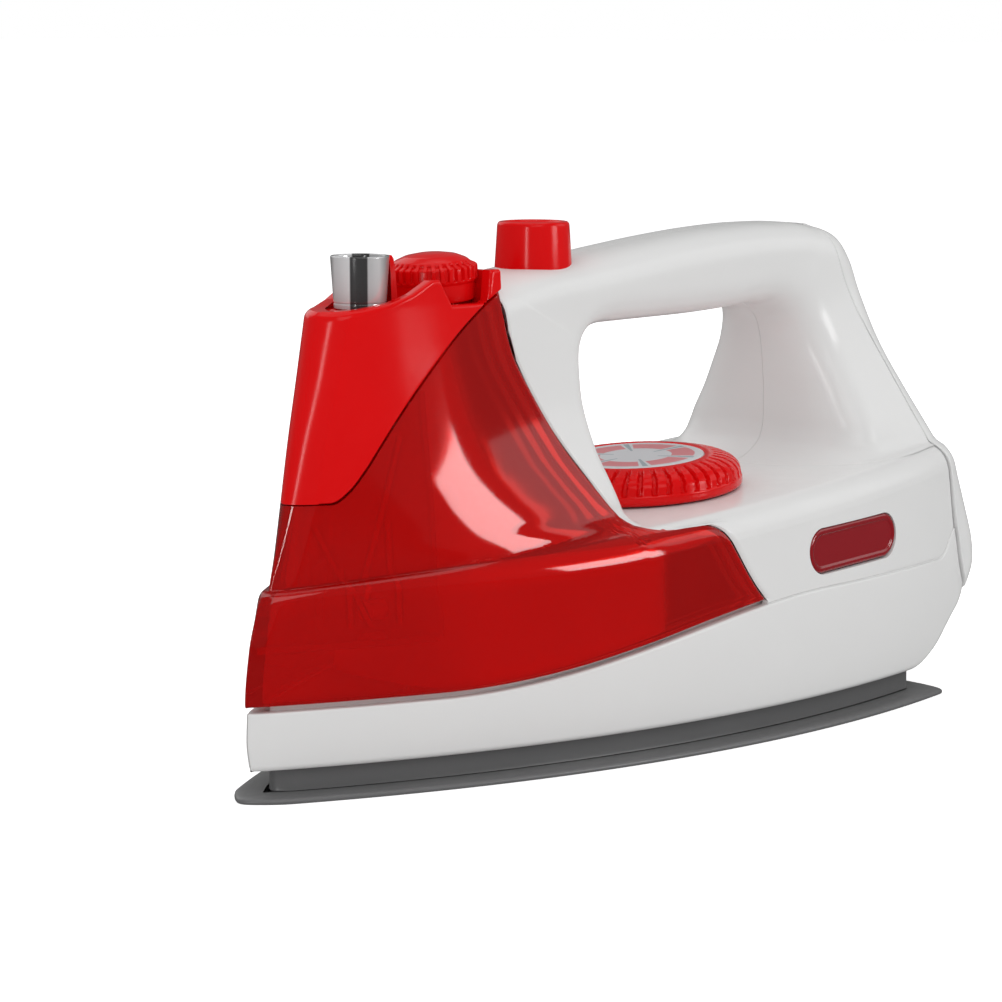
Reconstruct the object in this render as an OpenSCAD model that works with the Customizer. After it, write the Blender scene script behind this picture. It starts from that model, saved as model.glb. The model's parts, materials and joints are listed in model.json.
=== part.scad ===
// Toy steam iron with a water tank, a spray button, a turning dial and a twist-off filler cap.
// X runs from the nose to the heel, Y is the width and Z is up. The origin is at the middle of the sole.

/* [Overall] */
// Length of the sole flange from its nose to its end
sole_l = 202; // [196:1:208]
// Greatest width of the sole flange
sole_w = 94.2; // [92:0.1:97]
// How far the heel leans out behind the sole
heel_over = 27; // [25:0.5:30]
// Height of the top of the grip
grip_h = 114; // [112:0.5:117]

/* [Sole] */
// Thickness of the sole flange
flange_t = 1.4; // [1.2:0.1:2]
// Radius of the flange at the nose
nose_r = 7; // [5:0.5:9]
// Radius of the flange at the rear corners
heel_r = 6; // [4:0.5:9]
// How far the wall of the sole stands inside the flange edge
sole_inset = 7.5; // [7:0.1:9]
// Thickness of the wall of the sole
sole_wall = 1.6; // [1.2:0.1:2]

/* [Shells] */
// Wall of every plastic shell
wall = 2; // [1.8:0.1:2.2]
// Clearance between neighbouring pieces
fit_gap = 0.3; // [0.25:0.05:0.35]
// Height of the lower edge of the skirt
skirt_z = 6.4; // [5.5:0.1:7]
// How far the skirt stands inside the flange edge
skirt_inset = 4.8; // [4.5:0.1:5.2]
// Height of the upper edge of the skirt at the nose, as a share of the grip's height
skirt_nose_share = 0.166; // [0.15:0.001:0.175]
// Height of the upper edge of the skirt at the rear, as a share of the grip's height
skirt_rear_share = 0.279; // [0.265:0.001:0.29]
// Open line between the skirt and the tank above it
seam_gap = 1.3; // [1:0.1:1.6]
// Height of the deck at the nose end of its slope, as a share of the grip's height
deck_share = 0.38; // [0.37:0.001:0.39]
// How far the rounded edge of the deck draws in
deck_round = 6; // [5:0.1:7]

/* [Nose cap] */
// Height of the floor of the nose cap, on which the nozzle stands, as a share of the grip's height
cap_floor_share = 0.893; // [0.886:0.001:0.898]
// Height of the cap at its lowest front edge, as a share of the grip's height
cap_low_share = 0.544; // [0.53:0.001:0.56]

/* [Nozzle] */
// Distance of the nozzle behind the nose, as a share of the sole's length
nozzle_at_share = 0.185; // [0.18:0.001:0.19]
// Height of the nozzle sleeve above the cap floor
nozzle_h = 11.2; // [9:0.1:13]
// Radius of the sleeve at its top
nozzle_top_r = 6.35; // [6:0.05:6.6]
// Radius of the sleeve at its foot
nozzle_foot_r = 5.6; // [5.3:0.05:5.9]
// Wall of the sleeve
nozzle_wall = 0.9; // [0.7:0.1:1.1]
// Radius of the spray hole
orifice_r = 0.6; // [0.4:0.1:0.8]

/* [Filler cap] */
// Distance of the filler behind the nose, as a share of the sole's length
filler_at_share = 0.3; // [0.297:0.001:0.303]
// Radius of the knurled ring of the filler cap
filler_r = 10.1; // [9.8:0.1:10.4]
// Radius of the hole in the filler neck
neck_bore_r = 7; // [6.6:0.1:7.2]
// Wall of the filler neck
neck_wall = 1.4; // [1.2:0.1:1.5]
// Height of the knurled ring
filler_ring_h = 3.9; // [3.4:0.1:4.4]
// Height of the dome above the ring
filler_dome_h = 2.2; // [1.6:0.1:2.8]

/* [Spray button] */
// Distance of the button behind the nose, as a share of the sole's length
button_at_share = 0.467; // [0.464:0.001:0.47]
// How far the button's top stands above the top of the grip
button_over = 3.8; // [3.2:0.1:4.6]
// Radius of the button at its top
button_top_r = 8.15; // [8:0.05:8.3]
// Radius of the part of the button that slides in its guide
button_r = 8.9; // [8.8:0.05:9]
// How far the button travels
button_travel = 4; // [3:0.1:4.5]
// Radius of the pump plunger
plunger_r = 2.4; // [2.2:0.05:2.5]

/* [Dial] */
// Distance of the dial behind the nose, as a share of the sole's length
dial_at_share = 0.6535; // [0.648:0.0005:0.66]
// Radius of the dial over its ribs
dial_r = 24.9; // [24:0.1:25.5]
// Height of the dial above the deck
dial_h = 8; // [7:0.1:9]
// Number of ribs around the dial
dial_ribs = 44; // [36:2:52]
// Radius of the disc set in the dial
disc_r = 16.2; // [15:0.1:17]
// Radius of the dial's shaft
dial_shaft_r = 4; // [3.5:0.1:4.5]

/* [Lamp] */
// Distance of the middle of the lamp windows behind the nose, as a share of the sole's length
lamp_at_share = 0.812; // [0.807:0.001:0.817]
// Height of the middle of the lamp windows, as a share of the grip's height
lamp_share = 0.358; // [0.35:0.001:0.364]
// Length of a lamp window
lamp_l = 36; // [33:0.5:38]
// Height of a lamp window
lamp_w = 10.2; // [9:0.1:11]

/* [Batteries] */
// Radius of a cell
cell_r = 5.2; // [5.1:0.05:5.3]
// Length of a cell
cell_l = 44.5; // [44:0.1:45]

/* [Screws] */
// Radius of the screws' shanks
screw_r = 1.25; // [1.1:0.05:1.4]
// Radius of the screws' heads
head_r = 2.5; // [2.3:0.1:2.8]
// Radius of the bosses that take the screws
boss_r = 3.8; // [3.5:0.1:4.2]

/* [Hidden] */
$fn = 48;
white = "whitesmoke";
red = "red";
deep_red = "firebrick";
grey = "dimgray";
// Running clearance on the radius of a shaft, a plunger or a guided button
run_gap = 0.05;
// One overrun serves all cuts
over = 1;
// Everything is wider and longer than this reach
reach = sole_l * 2;
// Steps along one side of an outline, and the least half width, which keeps its ends open
steps = 14;
least = 0.05;

overall_l = sole_l + heel_over;
nose_x = -overall_l / 2;
// Every place along the body goes with the length of the sole
nozzle_at = nozzle_at_share * sole_l;
filler_at = filler_at_share * sole_l;
button_at = button_at_share * sole_l;
dial_at = dial_at_share * sole_l;
lamp_at = lamp_at_share * sole_l;
// Every height of the body goes with the height of the grip
skirt_nose_h = skirt_nose_share * grip_h;
skirt_rear_h = skirt_rear_share * grip_h;
deck_h = deck_share * grip_h;
cap_floor_z = cap_floor_share * grip_h;
cap_low_z = cap_low_share * grip_h;
lamp_z = lamp_share * grip_h;
button_top = grip_h + button_over;
// The two sides of the sole are arcs of one radius. The sharp tip that they would make is cut short
widest_share = 0.752;
tip_cut_share = 0.031;
arc_d = (widest_share + tip_cut_share) * sole_l;
arc_r = (pow(arc_d, 2) + pow(sole_w / 2, 2)) / sole_w;
deck_slope = 0.075;
deck_pitch = atan(deck_slope);

// Side views are lists of pairs: a height as a share of the grip's height and a distance behind the
// nose as a share of the sole's length
low_tip_shares = [[0.056, 0.016], [0.114, 0.011], [0.165, 0.012], [0.18, 0.009], [0.284, 0.016],
    [0.356, 0.029], [0.381, 0.036], [0.52, 0.062]];
low_rear_shares = [[0.056, 0.98], [0.07, 1.005], [0.096, 1.037], [0.135, 1.069], [0.175, 1.104],
    [0.215, 1.126], [0.246, 1.133], [0.272, 1.133], [0.333, 1.125], [0.404, 1.112], [0.456, 1.1],
    [0.526, 1.085]];
tower_tip_shares = [[0.33, 0.041], [0.386, 0.0455], [0.453, 0.057], [0.532, 0.0693], [0.658, 0.0807],
    [0.768, 0.0936], [0.895, 0.1064], [0.965, 0.114]];
// Heights as shares of the grip's height, with half widths as shares of the sole's width
tower_wide_shares = [[0.33, 0.51], [0.404, 0.425], [0.439, 0.372], [0.474, 0.297], [0.509, 0.26],
    [0.544, 0.234], [0.596, 0.205], [0.667, 0.183], [0.754, 0.163], [0.842, 0.149], [0.921, 0.14],
    [0.965, 0.137]];
tower_inset_shares = [[0.35, 0.085], [0.54, 0.089], [0.9, 0.101]];
tower_back_share = 0.455;
// Heights of the rings of the lower body and how far each draws in, as shares of the deck's rounding
low_ring_shares = [[0, 0.1], [0.02, 0], [0.3, 0], [0.5, 0.06], [0.65, 0.13], [0.8, 0.25], [0.9, 0.42],
    [0.96, 0.65], [1, 1]];
tower_ring_shares = [0, 0.05, 0.1, 0.16, 0.22, 0.29, 0.38, 0.5, 0.66, 0.84, 1];
// Sections of the handle loop from the front post over the grip to the heel: the point on the
// opening's side, the point on the outer side, each as shares of the sole's length and the grip's
// height, and the half width as a share of the sole's width
loop_shares = [[0.525, 0.351, 0.307, 0.351, 0.287], [0.505, 0.456, 0.317, 0.474, 0.281],
    [0.49, 0.526, 0.322, 0.561, 0.234], [0.478, 0.605, 0.327, 0.684, 0.193],
    [0.472, 0.693, 0.329, 0.807, 0.166], [0.477, 0.763, 0.342, 0.904, 0.151],
    [0.495, 0.807, 0.416, 0.943, 0.142], [0.53, 0.825, 0.515, 0.959, 0.138],
    [0.594, 0.824, 0.599, 0.974, 0.137], [0.683, 0.824, 0.688, 0.988, 0.137],
    [0.767, 0.828, 0.777, 0.997, 0.138], [0.832, 0.833, 0.866, 1, 0.14],
    [0.866, 0.819, 0.931, 0.993, 0.142], [0.884, 0.785, 0.978, 0.974, 0.146],
    [0.891, 0.746, 1, 0.93, 0.153], [0.895, 0.693, 1.012, 0.86, 0.167],
    [0.898, 0.632, 1.03, 0.763, 0.191], [0.898, 0.579, 1.054, 0.658, 0.228],
    [0.891, 0.522, 1.079, 0.553, 0.276], [0.871, 0.465, 1.101, 0.439, 0.329],
    [0.822, 0.368, 1.121, 0.316, 0.361]];
// Upper edge of the skirt: where its rise starts and ends
rise_start_share = 0.208;
rise_end_share = 0.743;
// Outline of the tank's rear edge, from the skirt up to the tower's top
tank_edge_shares = [[0.634, 0.283], [0.609, 0.338], [0.589, 0.395], [0.574, 0.43], [0.555, 0.445],
    [0.475, 0.437], [0.453, 0.5], [0.438, 0.544], [0.408, 0.623], [0.376, 0.715], [0.351, 0.798],
    [0.342, 0.868], [0.336, 0.921]];
// Lower edge of the nose cap, from the nose to the cap's rear
cap_edge_shares = [[0.1, 0.544], [0.114, 0.549], [0.124, 0.566], [0.152, 0.625], [0.171, 0.684],
    [0.191, 0.725], [0.214, 0.76], [0.238, 0.793], [0.257, 0.827], [0.281, 0.853], [0.302, 0.877],
    [0.327, 0.904], [0.338, 0.912]];
// Upper outline of the nose cap, from its rear over the finger notch to the front lip
cap_top_shares = [[0.338, 0.956], [0.323, 0.956], [0.318, 0.895], [0.262, 0.895], [0.241, 0.945],
    [0.228, 0.945], [0.203, 0.921], [0.178, 0.906], [0.149, 0.898], [0.1, 0.893]];
// Front edge of the rear cover, from its foot up over the grip
rear_edge_shares = [[1.087, 0.193], [1.071, 0.254], [1.059, 0.33], [1.045, 0.474], [1.027, 0.579],
    [1.007, 0.693], [0.973, 0.825], [0.958, 0.895], [0.948, 0.965], [0.943, 1.05]];
// Top of the housing between the nose cap and the button
shoulder_shares = [[0.339, 0.918], [0.42, 0.94], [0.5, 0.958]];
// Front and top of the core inside the tank
core_shares = [[0.228, 0.02], [0.228, 0.75], [0.322, 0.75], [0.327, 1.2], [1.3, 1.2], [1.3, 0.02]];

function at_s(share) = nose_x + share * sole_l;
tower_h = tower_tip_shares[len(tower_tip_shares) - 1][0] * grip_h;
edge_top = tank_edge_shares[len(tank_edge_shares) - 1][1] * grip_h;
cap_back = at_s(cap_top_shares[0][0]);
function mix(a, b, t) = a + (b - a) * t;
function smooth(t) = let(u = max(0, min(1, t))) u * u * (3 - 2 * u);
function deck_z(s) = deck_h + deck_slope * s;
// Half width of the flange at a distance behind the nose, less an inset
function ogive(s, inset) =
    sole_w / 2 - inset - (arc_r - sqrt(pow(arc_r, 2) - pow(widest_share * sole_l - s, 2)));
// A rounded end: nothing at the end itself and one from the radius on
function rounded(d, r, power) = d <= 0 ? 0 : d >= r ? 1 : pow(1 - pow(1 - d / r, power), 1 / power);
function soft_min(a, b) = a <= 0 ? a : pow(pow(a, -5) + pow(b, -5), -1 / 5);
// A ring has its near side from nose to rear and then its far side back again
function ring(side) = concat([for (p = side) [nose_x + p[0], -max(p[1], least), p[2]]],
    [for (i = [len(side) - 1 : -1 : 0]) [nose_x + side[i][0], max(side[i][1], least), side[i][2]]]);
function along(i) = (1 - cos(180 * i / steps)) / 2;
function downward(rings) = [for (i = [len(rings) - 1 : -1 : 0]) rings[i]];

function low_ring(height_share, draw_share, grow) =
    let(tip_z = mix(skirt_z, deck_h, height_share),
        tip = lookup(tip_z / grip_h, low_tip_shares) * sole_l - grow,
        rear_z = mix(skirt_z, deck_z(sole_l + heel_over), height_share),
        rear = lookup(rear_z / grip_h, low_rear_shares) * sole_l + grow,
        inset = skirt_inset + draw_share * deck_round - grow)
    ring([for (i = [0 : steps]) let(s = mix(tip, rear, along(i)))
        [s, ogive(s, inset) * rounded(s - tip, nose_r / 2, 2) * rounded(rear - s, heel_r * 2, 3),
            mix(skirt_z, deck_z(s) + grow, height_share)]]);

function tower_ring(height_share, grow) =
    let(tip_z = mix(deck_h - wall, tower_h, height_share),
        tip = lookup(tip_z / grip_h, tower_tip_shares) * sole_l - grow,
        back = tower_back_share * sole_l)
    ring([for (i = [0 : steps]) let(s = mix(tip, back, along(i)),
            z = mix(deck_z(s) - 2 * wall, tower_h, height_share),
            inset = lookup(z / grip_h, tower_inset_shares) * sole_w,
            widest = lookup(z / grip_h, tower_wide_shares) * sole_w)
        [s, (soft_min(ogive(s, inset), widest) + grow)
            * rounded(s - tip, nose_r * 0.6, 2) * rounded(back - s, nose_r, 2), z]]);

function loop_ring(section, grow) =
    let(inner = [section[0] * sole_l, section[1] * grip_h],
        outer = [section[2] * sole_l, section[3] * grip_h],
        unit = (outer - inner) / norm(outer - inner),
        from = inner - unit * grow, to = outer + unit * grow)
    ring([for (i = [0 : steps]) let(t = along(i), p = mix(from, to, t))
        [p[0], (section[4] * sole_w + grow) * pow(1 - pow(abs(2 * t - 1), 3), 1 / 3), p[1]]]);

function seam_z(s) = mix(skirt_nose_h, skirt_rear_h,
    smooth((s / sole_l - rise_start_share) / (rise_end_share - rise_start_share)));
// The skirt's upper edge as points from the nose to a distance behind it
function seam_line(to, up) = [for (i = [0 : steps]) let(s = mix(-heel_over, to, i / steps))
    [nose_x + s, seam_z(s) + up]];
function outline(shares) = [for (p = shares) [at_s(p[0]), p[1] * grip_h]];

module skin(rings) {
    n = len(rings[0]);
    m = len(rings);
    half = n / 2;
    polyhedron(points = [for (r = rings) each r], faces = concat(
        [for (j = [0 : m - 2], i = [0 : n - 1]) let(k = (i + 1) % n)
            each [[j * n + i, j * n + k, (j + 1) * n + k], [j * n + i, (j + 1) * n + k, (j + 1) * n + i]]],
        [for (i = [0 : half - 2]) each [[i + 1, i, n - 1 - i], [i + 1, n - 1 - i, n - 2 - i]]],
        [for (i = [0 : half - 2]) let(b = (m - 1) * n)
            each [[b + i, b + i + 1, b + n - 2 - i], [b + i, b + n - 2 - i, b + n - 1 - i]]]));
}

// The lower body. A drop lowers its open underside without changing its sides
module low_body(grow, drop = 0) {
    rings = [for (r = low_ring_shares) low_ring(r[0], r[1], grow)];
    skin(downward(drop > 0 ? concat([[for (p = rings[0]) p - [0, 0, drop]]], rings) : rings));
}
module tower_body(grow) { skin(downward([for (h = tower_ring_shares) tower_ring(h, grow)])); }
module loop_body(grow) { skin([for (s = loop_shares) loop_ring(s, grow)]); }
// The whole outer form, grown or shrunk
module body(grow, drop = 0) {
    low_body(grow, drop);
    difference() {
        tower_body(grow);
        translate([0, 0, grow]) through(concat(outline(shoulder_shares),
            [[at_s(1), 2 * grip_h], [at_s(shoulder_shares[0][0]), 2 * grip_h]]));
    }
    loop_body(grow);
}
// A side view carried through the whole width
module through(points) {
    translate([0, reach / 2, 0]) rotate([90, 0, 0]) linear_extrude(reach) polygon(points);
}
module shell() {
    difference() {
        body(0);
        body(-wall, over);
    }
}
module far_half(gap) { translate([-reach / 2, gap / 2, -reach / 2]) cube(reach); }
module above(z) { translate([-reach / 2, -reach / 2, z]) cube(reach); }

module skirt_zone(lower) {
    through(concat([[nose_x - heel_over, -over]], seam_line(1.1 * sole_l, -lower),
        [[at_s(1.3), seam_z(sole_l) - lower], [at_s(1.3), -over]]));
}
module rear_zone(gap) {
    through(concat([for (p = outline(rear_edge_shares)) p - [gap, 0]],
        [[at_s(1.3), 1.05 * grip_h], [at_s(1.3), 0.193 * grip_h - gap],
            outline(rear_edge_shares)[0] - [gap, gap]]));
}
module tank_zone(gap) {
    through(concat(seam_line(tank_edge_shares[0][0] * sole_l, seam_gap - gap),
        [for (p = outline(tank_edge_shares)) p + [gap, gap / 2]],
        [[nose_x - heel_over, edge_top]]));
}
module cap_zone(gap) {
    through(concat([[nose_x - heel_over, cap_low_z - gap]],
        [for (p = outline(cap_edge_shares)) p - [-gap / 2, gap]],
        [for (p = outline(cap_top_shares)) p + [0, gap]], [[nose_x - heel_over, cap_floor_z]]));
}
// The cap's side of its lower edge, with everything above it
module over_cap_edge(gap) {
    through(concat([[nose_x - heel_over, cap_low_z - gap]],
        [for (p = outline(cap_edge_shares)) p - [-gap / 2, gap]],
        [[cap_back + gap, 2 * grip_h], [nose_x - heel_over, 2 * grip_h]]));
}
// Everything in front of the housing: the tank, the nose cap and the open line under the tank
module front_zone(gap) {
    through(concat([[nose_x - heel_over, -over], [at_s(tank_edge_shares[0][0]) + gap, -over]],
        [for (p = outline(tank_edge_shares)) p + [gap, gap / 2]],
        [[cap_back + gap, edge_top + gap], [cap_back + gap, 2 * grip_h], [nose_x - heel_over, 2 * grip_h]]));
}
module core_zone(inward) {
    through([for (p = outline(core_shares)) p + [inward, -inward]]);
}

// Screws through the two halves run across the iron, as distance and height shares
housing_screw_shares = [[0.55, 0.892], [0.83, 0.915], [0.955, 0.62], [0.7, 0.31]];
// Screws through the sole, as distance and side shares
sole_screw_shares = [[0.36, 0.2], [0.36, -0.2], [0.86, 0.3], [0.86, -0.3]];
screw_seat = 3;
screw_grip = 8;
module at_housing_screws(which = [0 : 3]) {
    for (k = which) translate([at_s(housing_screw_shares[k][0]), 0, housing_screw_shares[k][1] * grip_h])
        rotate([90, 0, 0]) children();
}
module at_sole_screws(which = [0 : 3]) {
    for (k = which) translate([at_s(sole_screw_shares[k][0]), sole_screw_shares[k][1] * sole_w, 0])
        children();
}

// Frames of the pieces that stand on a slope
module on_deck() { translate([nose_x + dial_at, 0, deck_z(dial_at)]) rotate([0, -deck_pitch, 0]) children(); }
module on_filler() {
    translate([nose_x + filler_at, 0, cap_floor_z]) rotate([0, -deck_pitch, 0]) children();
}
pump_offset = 5;
module on_pump() { translate([nose_x + button_at - pump_offset, 0, 0]) children(); }
module on_button() { translate([nose_x + button_at, 0, 0]) children(); }

function plan(inset, tip, rear, r_front, r_rear) = [for (p = ring([for (i = [0 : steps])
    let(s = mix(tip, rear, along(i)))
    [s, ogive(s, inset) * rounded(s - tip, r_front, 2) * rounded(rear - s, r_rear, 3), 0]])) [p[0], p[1]]];

sole_tip = 9.5;
sole_rear_gap = 8;
module sole_outline(inset) {
    polygon(plan(sole_inset + inset, sole_tip + inset, sole_l - sole_rear_gap - inset, nose_r / 2, heel_r));
}
countersink = 0.4;
module soleplate() {
    color(grey) difference() {
        union() {
            linear_extrude(flange_t) polygon(plan(0, 0, sole_l, nose_r, heel_r));
            linear_extrude(skirt_z) difference() {
                sole_outline(0);
                sole_outline(sole_wall);
            }
            at_sole_screws() cylinder(r = boss_r, h = skirt_z);
        }
        at_sole_screws() {
            translate([0, 0, -over]) cylinder(r = screw_r + fit_gap, h = skirt_z + 2 * over);
            translate([0, 0, -over]) cylinder(r = head_r + fit_gap, h = over + flange_t + countersink);
        }
    }
}

skirt_floor = 2;
lip_t = 1.2;
skirt_wall = wall + fit_gap + lip_t;
rib_t = 1.2;
rib_h = 9;
sole_screw_l = 11;
// Ribs that stiffen the skirt's wall from the inside
module skirt_ribs() {
    for (k = [1 : 8]) {
        s = k * sole_l / 9.5;
        inner = ogive(s, skirt_inset) - skirt_wall;
        hull() for (y = [-over, over])
            translate([nose_x + s, inner + y, skirt_z + skirt_floor / 2]) cylinder(r = rib_t / 2, h = rib_h, $fn = 16);
    }
}
module skirt() {
    difference() {
        union() {
            difference() {
                union() {
                    intersection() {
                        low_body(0);
                        skirt_zone(0);
                    }
                    // The lip that the tank and the housing sit over
                    intersection() {
                        low_body(-wall - fit_gap);
                        skirt_zone(-seam_gap - wall);
                        above(skirt_z + skirt_floor / 2);
                    }
                }
                intersection() {
                    low_body(-skirt_wall);
                    above(skirt_z + skirt_floor);
                }
            }
            at_sole_screws() translate([0, 0, skirt_z + skirt_floor / 2]) cylinder(r = boss_r, h = rib_h);
            skirt_ribs();
        }
        rear_zone(fit_gap);
        rim_room();
        at_sole_screws() translate([0, 0, skirt_z - over]) cylinder(r = screw_r, h = over + rib_h - wall);
    }
}
module skirt_right() {
    color(white) intersection() {
        skirt();
        far_half(0);
    }
}
module skirt_left() {
    color(white) mirror([0, 1, 0]) intersection() {
        skirt();
        far_half(fit_gap / 2);
    }
}

well_r = 9.3;
board_z_share = 0.351;
board_z = board_z_share * grip_h;
board_t = 1.6;
board_from_share = 0.725;
board_to_share = 0.92;
// How far the board's edges stay inside the skirt
board_inset = 11.3;
board_half = sole_w / 2 - skirt_inset - board_inset;
stand_r = 2.4;
// Posts under the deck that hold the circuit board, by distance and side shares
board_post_shares = [[0.75, 0.12], [0.75, 0.22], [0.83, 0.12], [0.83, 0.22]];
module board_posts() {
    for (p = board_post_shares) hull() {
        translate([at_s(p[0]), p[1] * sole_w, board_z + board_t]) cylinder(r = stand_r, h = over, $fn = 16);
        translate([at_s(p[0]), p[1] * sole_w, deck_z(p[0] * sole_l) - wall])
            cylinder(r = stand_r + over, h = over, $fn = 16);
    }
}
// Gussets in the grip
grip_rib_shares = [0.6, 0.64, 0.68, 0.72, 0.76];
grip_rib_z_share = 0.836;
grip_rib_y_share = 0.12;
module grip_ribs() {
    for (x = grip_rib_shares) hull() for (y = [0, grip_rib_y_share])
        translate([at_s(x), y * sole_w, grip_rib_z_share * grip_h]) cylinder(r = rib_t / 2, h = rib_h / 2, $fn = 16);
}
lamp_turn = asin((lamp_at - widest_share * sole_l) / arc_r);
lamp_pitch = 1.5;
lamp_cut = 8;
module lamp_outline(grow) {
    rotate(lamp_pitch) {
        for (side = [-1, 1]) translate([side * (lamp_l - lamp_w) / 2, 0]) circle(r = lamp_w / 2 + grow);
        square([lamp_l - lamp_w, lamp_w + 2 * grow], center = true);
    }
}
// The frame of the far lamp window: its outline lies in the frame's plane, and up points inward
module on_lamp() {
    translate([nose_x + lamp_at, ogive(lamp_at, skirt_inset) - deck_round / 5, lamp_z])
        rotate([0, 0, -lamp_turn]) rotate([90, 0, 0]) children();
}
hose_r = 2.2;
hose_z_share = 0.7;
dip_z_share = 0.316;
module tube_holes() {
    for (z = [hose_z_share, dip_z_share]) translate([at_s(0.1), 0, z * grip_h]) rotate([0, 90, 0])
        cylinder(r = hose_r + fit_gap, h = 0.2 * sole_l);
}
// One half of the housing, on the far side, with its bosses. The hole of the screws differs by side
module housing_half(pilot) {
    difference() {
        union() {
            shell();
            intersection() {
                body(-wall / 2);
                union() {
                    at_housing_screws() cylinder(r = boss_r, h = reach, center = true);
                    board_posts();
                    grip_ribs();
                }
            }
        }
        front_zone(fit_gap);
        lip_zone();
        rear_zone(fit_gap);
        on_filler() cylinder(r = filler_r + 2 * fit_gap, h = reach);
        on_button() cylinder_between(guide_low - fit_gap, guide_low + guide_h + fit_gap,
            button_r + guide_wall + fit_gap);
        on_button() cylinder_between(guide_low, 2 * grip_h, well_r);
        on_deck() cylinder_between(-bush_l, dial_h, bush_r + fit_gap);
        on_lamp() cylinder_cut() lamp_outline(fit_gap);
        rim_room();
        at_housing_screws() if (pilot) cylinder(r = screw_r, h = 2 * (screw_grip + over), center = true);
        else {
            cylinder(r = screw_r + fit_gap, h = reach, center = true);
            mirror([0, 0, 1]) translate([0, 0, screw_seat]) cylinder(r = head_r + fit_gap, h = reach);
        }
    }
}
module cylinder_cut() { translate([0, 0, -lamp_cut]) linear_extrude(2 * lamp_cut) children(); }
// The skirt's side of the seam, with room for the skirt's lip inside the housing
module lip_zone() {
    skirt_zone(-fit_gap);
    intersection() {
        low_body(-wall / 2 - fit_gap);
        skirt_zone(-seam_gap - wall - fit_gap);
    }
}
module housing_right() {
    color(white) intersection() {
        housing_half(false);
        far_half(0);
    }
}
module housing_left() {
    color(white) mirror([0, 1, 0]) intersection() {
        housing_half(true);
        far_half(fit_gap / 2);
    }
}

door_low_share = 0.225;
door_high_share = 0.5;
door_half = 23;
door_from_share = 1.055;
module door_zone(gap) {
    translate([at_s(door_from_share), -door_half - gap, door_low_share * grip_h - gap])
        cube([sole_l, 2 * door_half + 2 * gap, (door_high_share - door_low_share) * grip_h + 2 * gap]);
}
// Ribs behind the rear cover
cover_rib_low_share = 0.56;
cover_rib_high_share = 0.88;
module cover_ribs() {
    for (k = [0 : 8]) hull() for (s = [0.97, 1.1])
        translate([at_s(s), 0, mix(cover_rib_low_share, cover_rib_high_share, k / 8) * grip_h])
            cube([over, sole_w / 5, rib_t], center = true);
}
module rear_cover() {
    color(white) difference() {
        union() {
            intersection() {
                shell();
                rear_zone(0);
            }
            intersection() {
                cover_ribs();
                rear_zone(0);
                difference() {
                    body(-wall / 2);
                    body(-2 * wall, over);
                }
            }
        }
        door_zone(fit_gap);
    }
}
module battery_door() {
    color(white) difference() {
        union() {
            intersection() {
                shell();
                door_zone(0);
            }
            // Ridges that a thumb pushes against
            intersection() {
                body(fit_gap);
                difference() {
                    for (k = [-4 : 4]) hull() for (y = [-1, 1])
                        translate([at_s(door_from_share), y * door_half / 2,
                                (door_ridge_share + ridge_step_share * k) * grip_h])
                            rotate([0, 90, 0]) cylinder(r = rib_t / 2, h = sole_l / 5, $fn = 16);
                    body(-wall / 2, over);
                }
            }
        }
        on_door_screw() cylinder(r = screw_r + fit_gap, h = sole_l, center = true);
        on_door_screw() cylinder(r = head_r + fit_gap, h = sole_l);
    }
}
door_ridge_share = 0.33;
ridge_step_share = 0.018;
door_screw_s_share = 1.087;
door_boss_l = 18;
// The frame of the door's screw at the seat of its head, which looks to the rear
module on_door_screw() {
    translate([at_s(door_screw_s_share), 0, box_high + boss_r]) rotate([0, 90, 0]) children();
}
module door_screw() {
    color("silver") on_door_screw() {
        translate([0, 0, -wall - screw_grip]) cylinder(r = screw_r - run_gap, h = wall + screw_grip);
        cylinder(r = head_r, h = wall / 2);
    }
}

// The tank is a saddle over the nose and the core. Struts stiffen its front inside
strut_r = 1.3;
// Struts along the inside of each wall, from one distance and height to another
strut_shares = [[[0.095, 0.5], [0.14, 0.31]], [[0.19, 0.66], [0.135, 0.36]],
    [[0.12, 0.42], [0.12, 0.31]], [[0.17, 0.5], [0.17, 0.31]]];
module tank_struts() {
    for (side = [-1, 1], p = strut_shares) hull() for (e = p)
        translate([at_s(e[0]), side * tank_half(e[0] * sole_l, e[1] * grip_h), e[1] * grip_h])
            sphere(r = strut_r, $fn = 10);
}
module water_tank() {
    color(red, 0.6) difference() {
        union() {
            shell();
            tank_struts();
        }
        outside_tank();
        over_cap_edge(fit_gap);
        on_filler() cylinder(r = filler_r + 2 * fit_gap, h = reach);
        tank_plate(fit_gap);
        translate([0, 0, tank_floor_share * grip_h - fit_gap])
            linear_extrude(tank_plate_t + 2 * fit_gap) tank_floor_outline(fit_gap);
    }
}
module outside_tank() {
    difference() {
        cube(3 * reach, center = true);
        tank_zone(0);
    }
}
// The white core that fills the tank behind its water. It is open to the rear
module core_ribs() {
    for (k = [0 : 7]) hull() for (z = [0.4, 0.72])
        translate([at_s(core_shares[0][0]) + wall, (k - 3.5) * rib_h / 2, z * grip_h])
            cube([2 * rib_t, rib_t, rib_t], center = true);
}
module tank_core() {
    color(white) difference() {
        intersection() {
            body(-wall - fit_gap);
            core_zone(0);
            tank_zone(-fit_gap);
            union() {
                difference() {
                    cube(2 * reach, center = true);
                    intersection() {
                        body(-2 * wall - fit_gap, over);
                        core_zone(wall);
                    }
                }
                core_ribs();
            }
        }
        skirt_zone(-seam_gap - wall - 2 * fit_gap);
        tube_holes();
        above(cap_floor_z - wall - fit_gap);
        on_filler() cylinder(r = neck_bore_r + neck_wall + fit_gap, h = reach, center = true);
    }
}
tank_plate_t = 1.5;
tank_back_share = 0.214;
tank_floor_share = 0.272;
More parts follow.
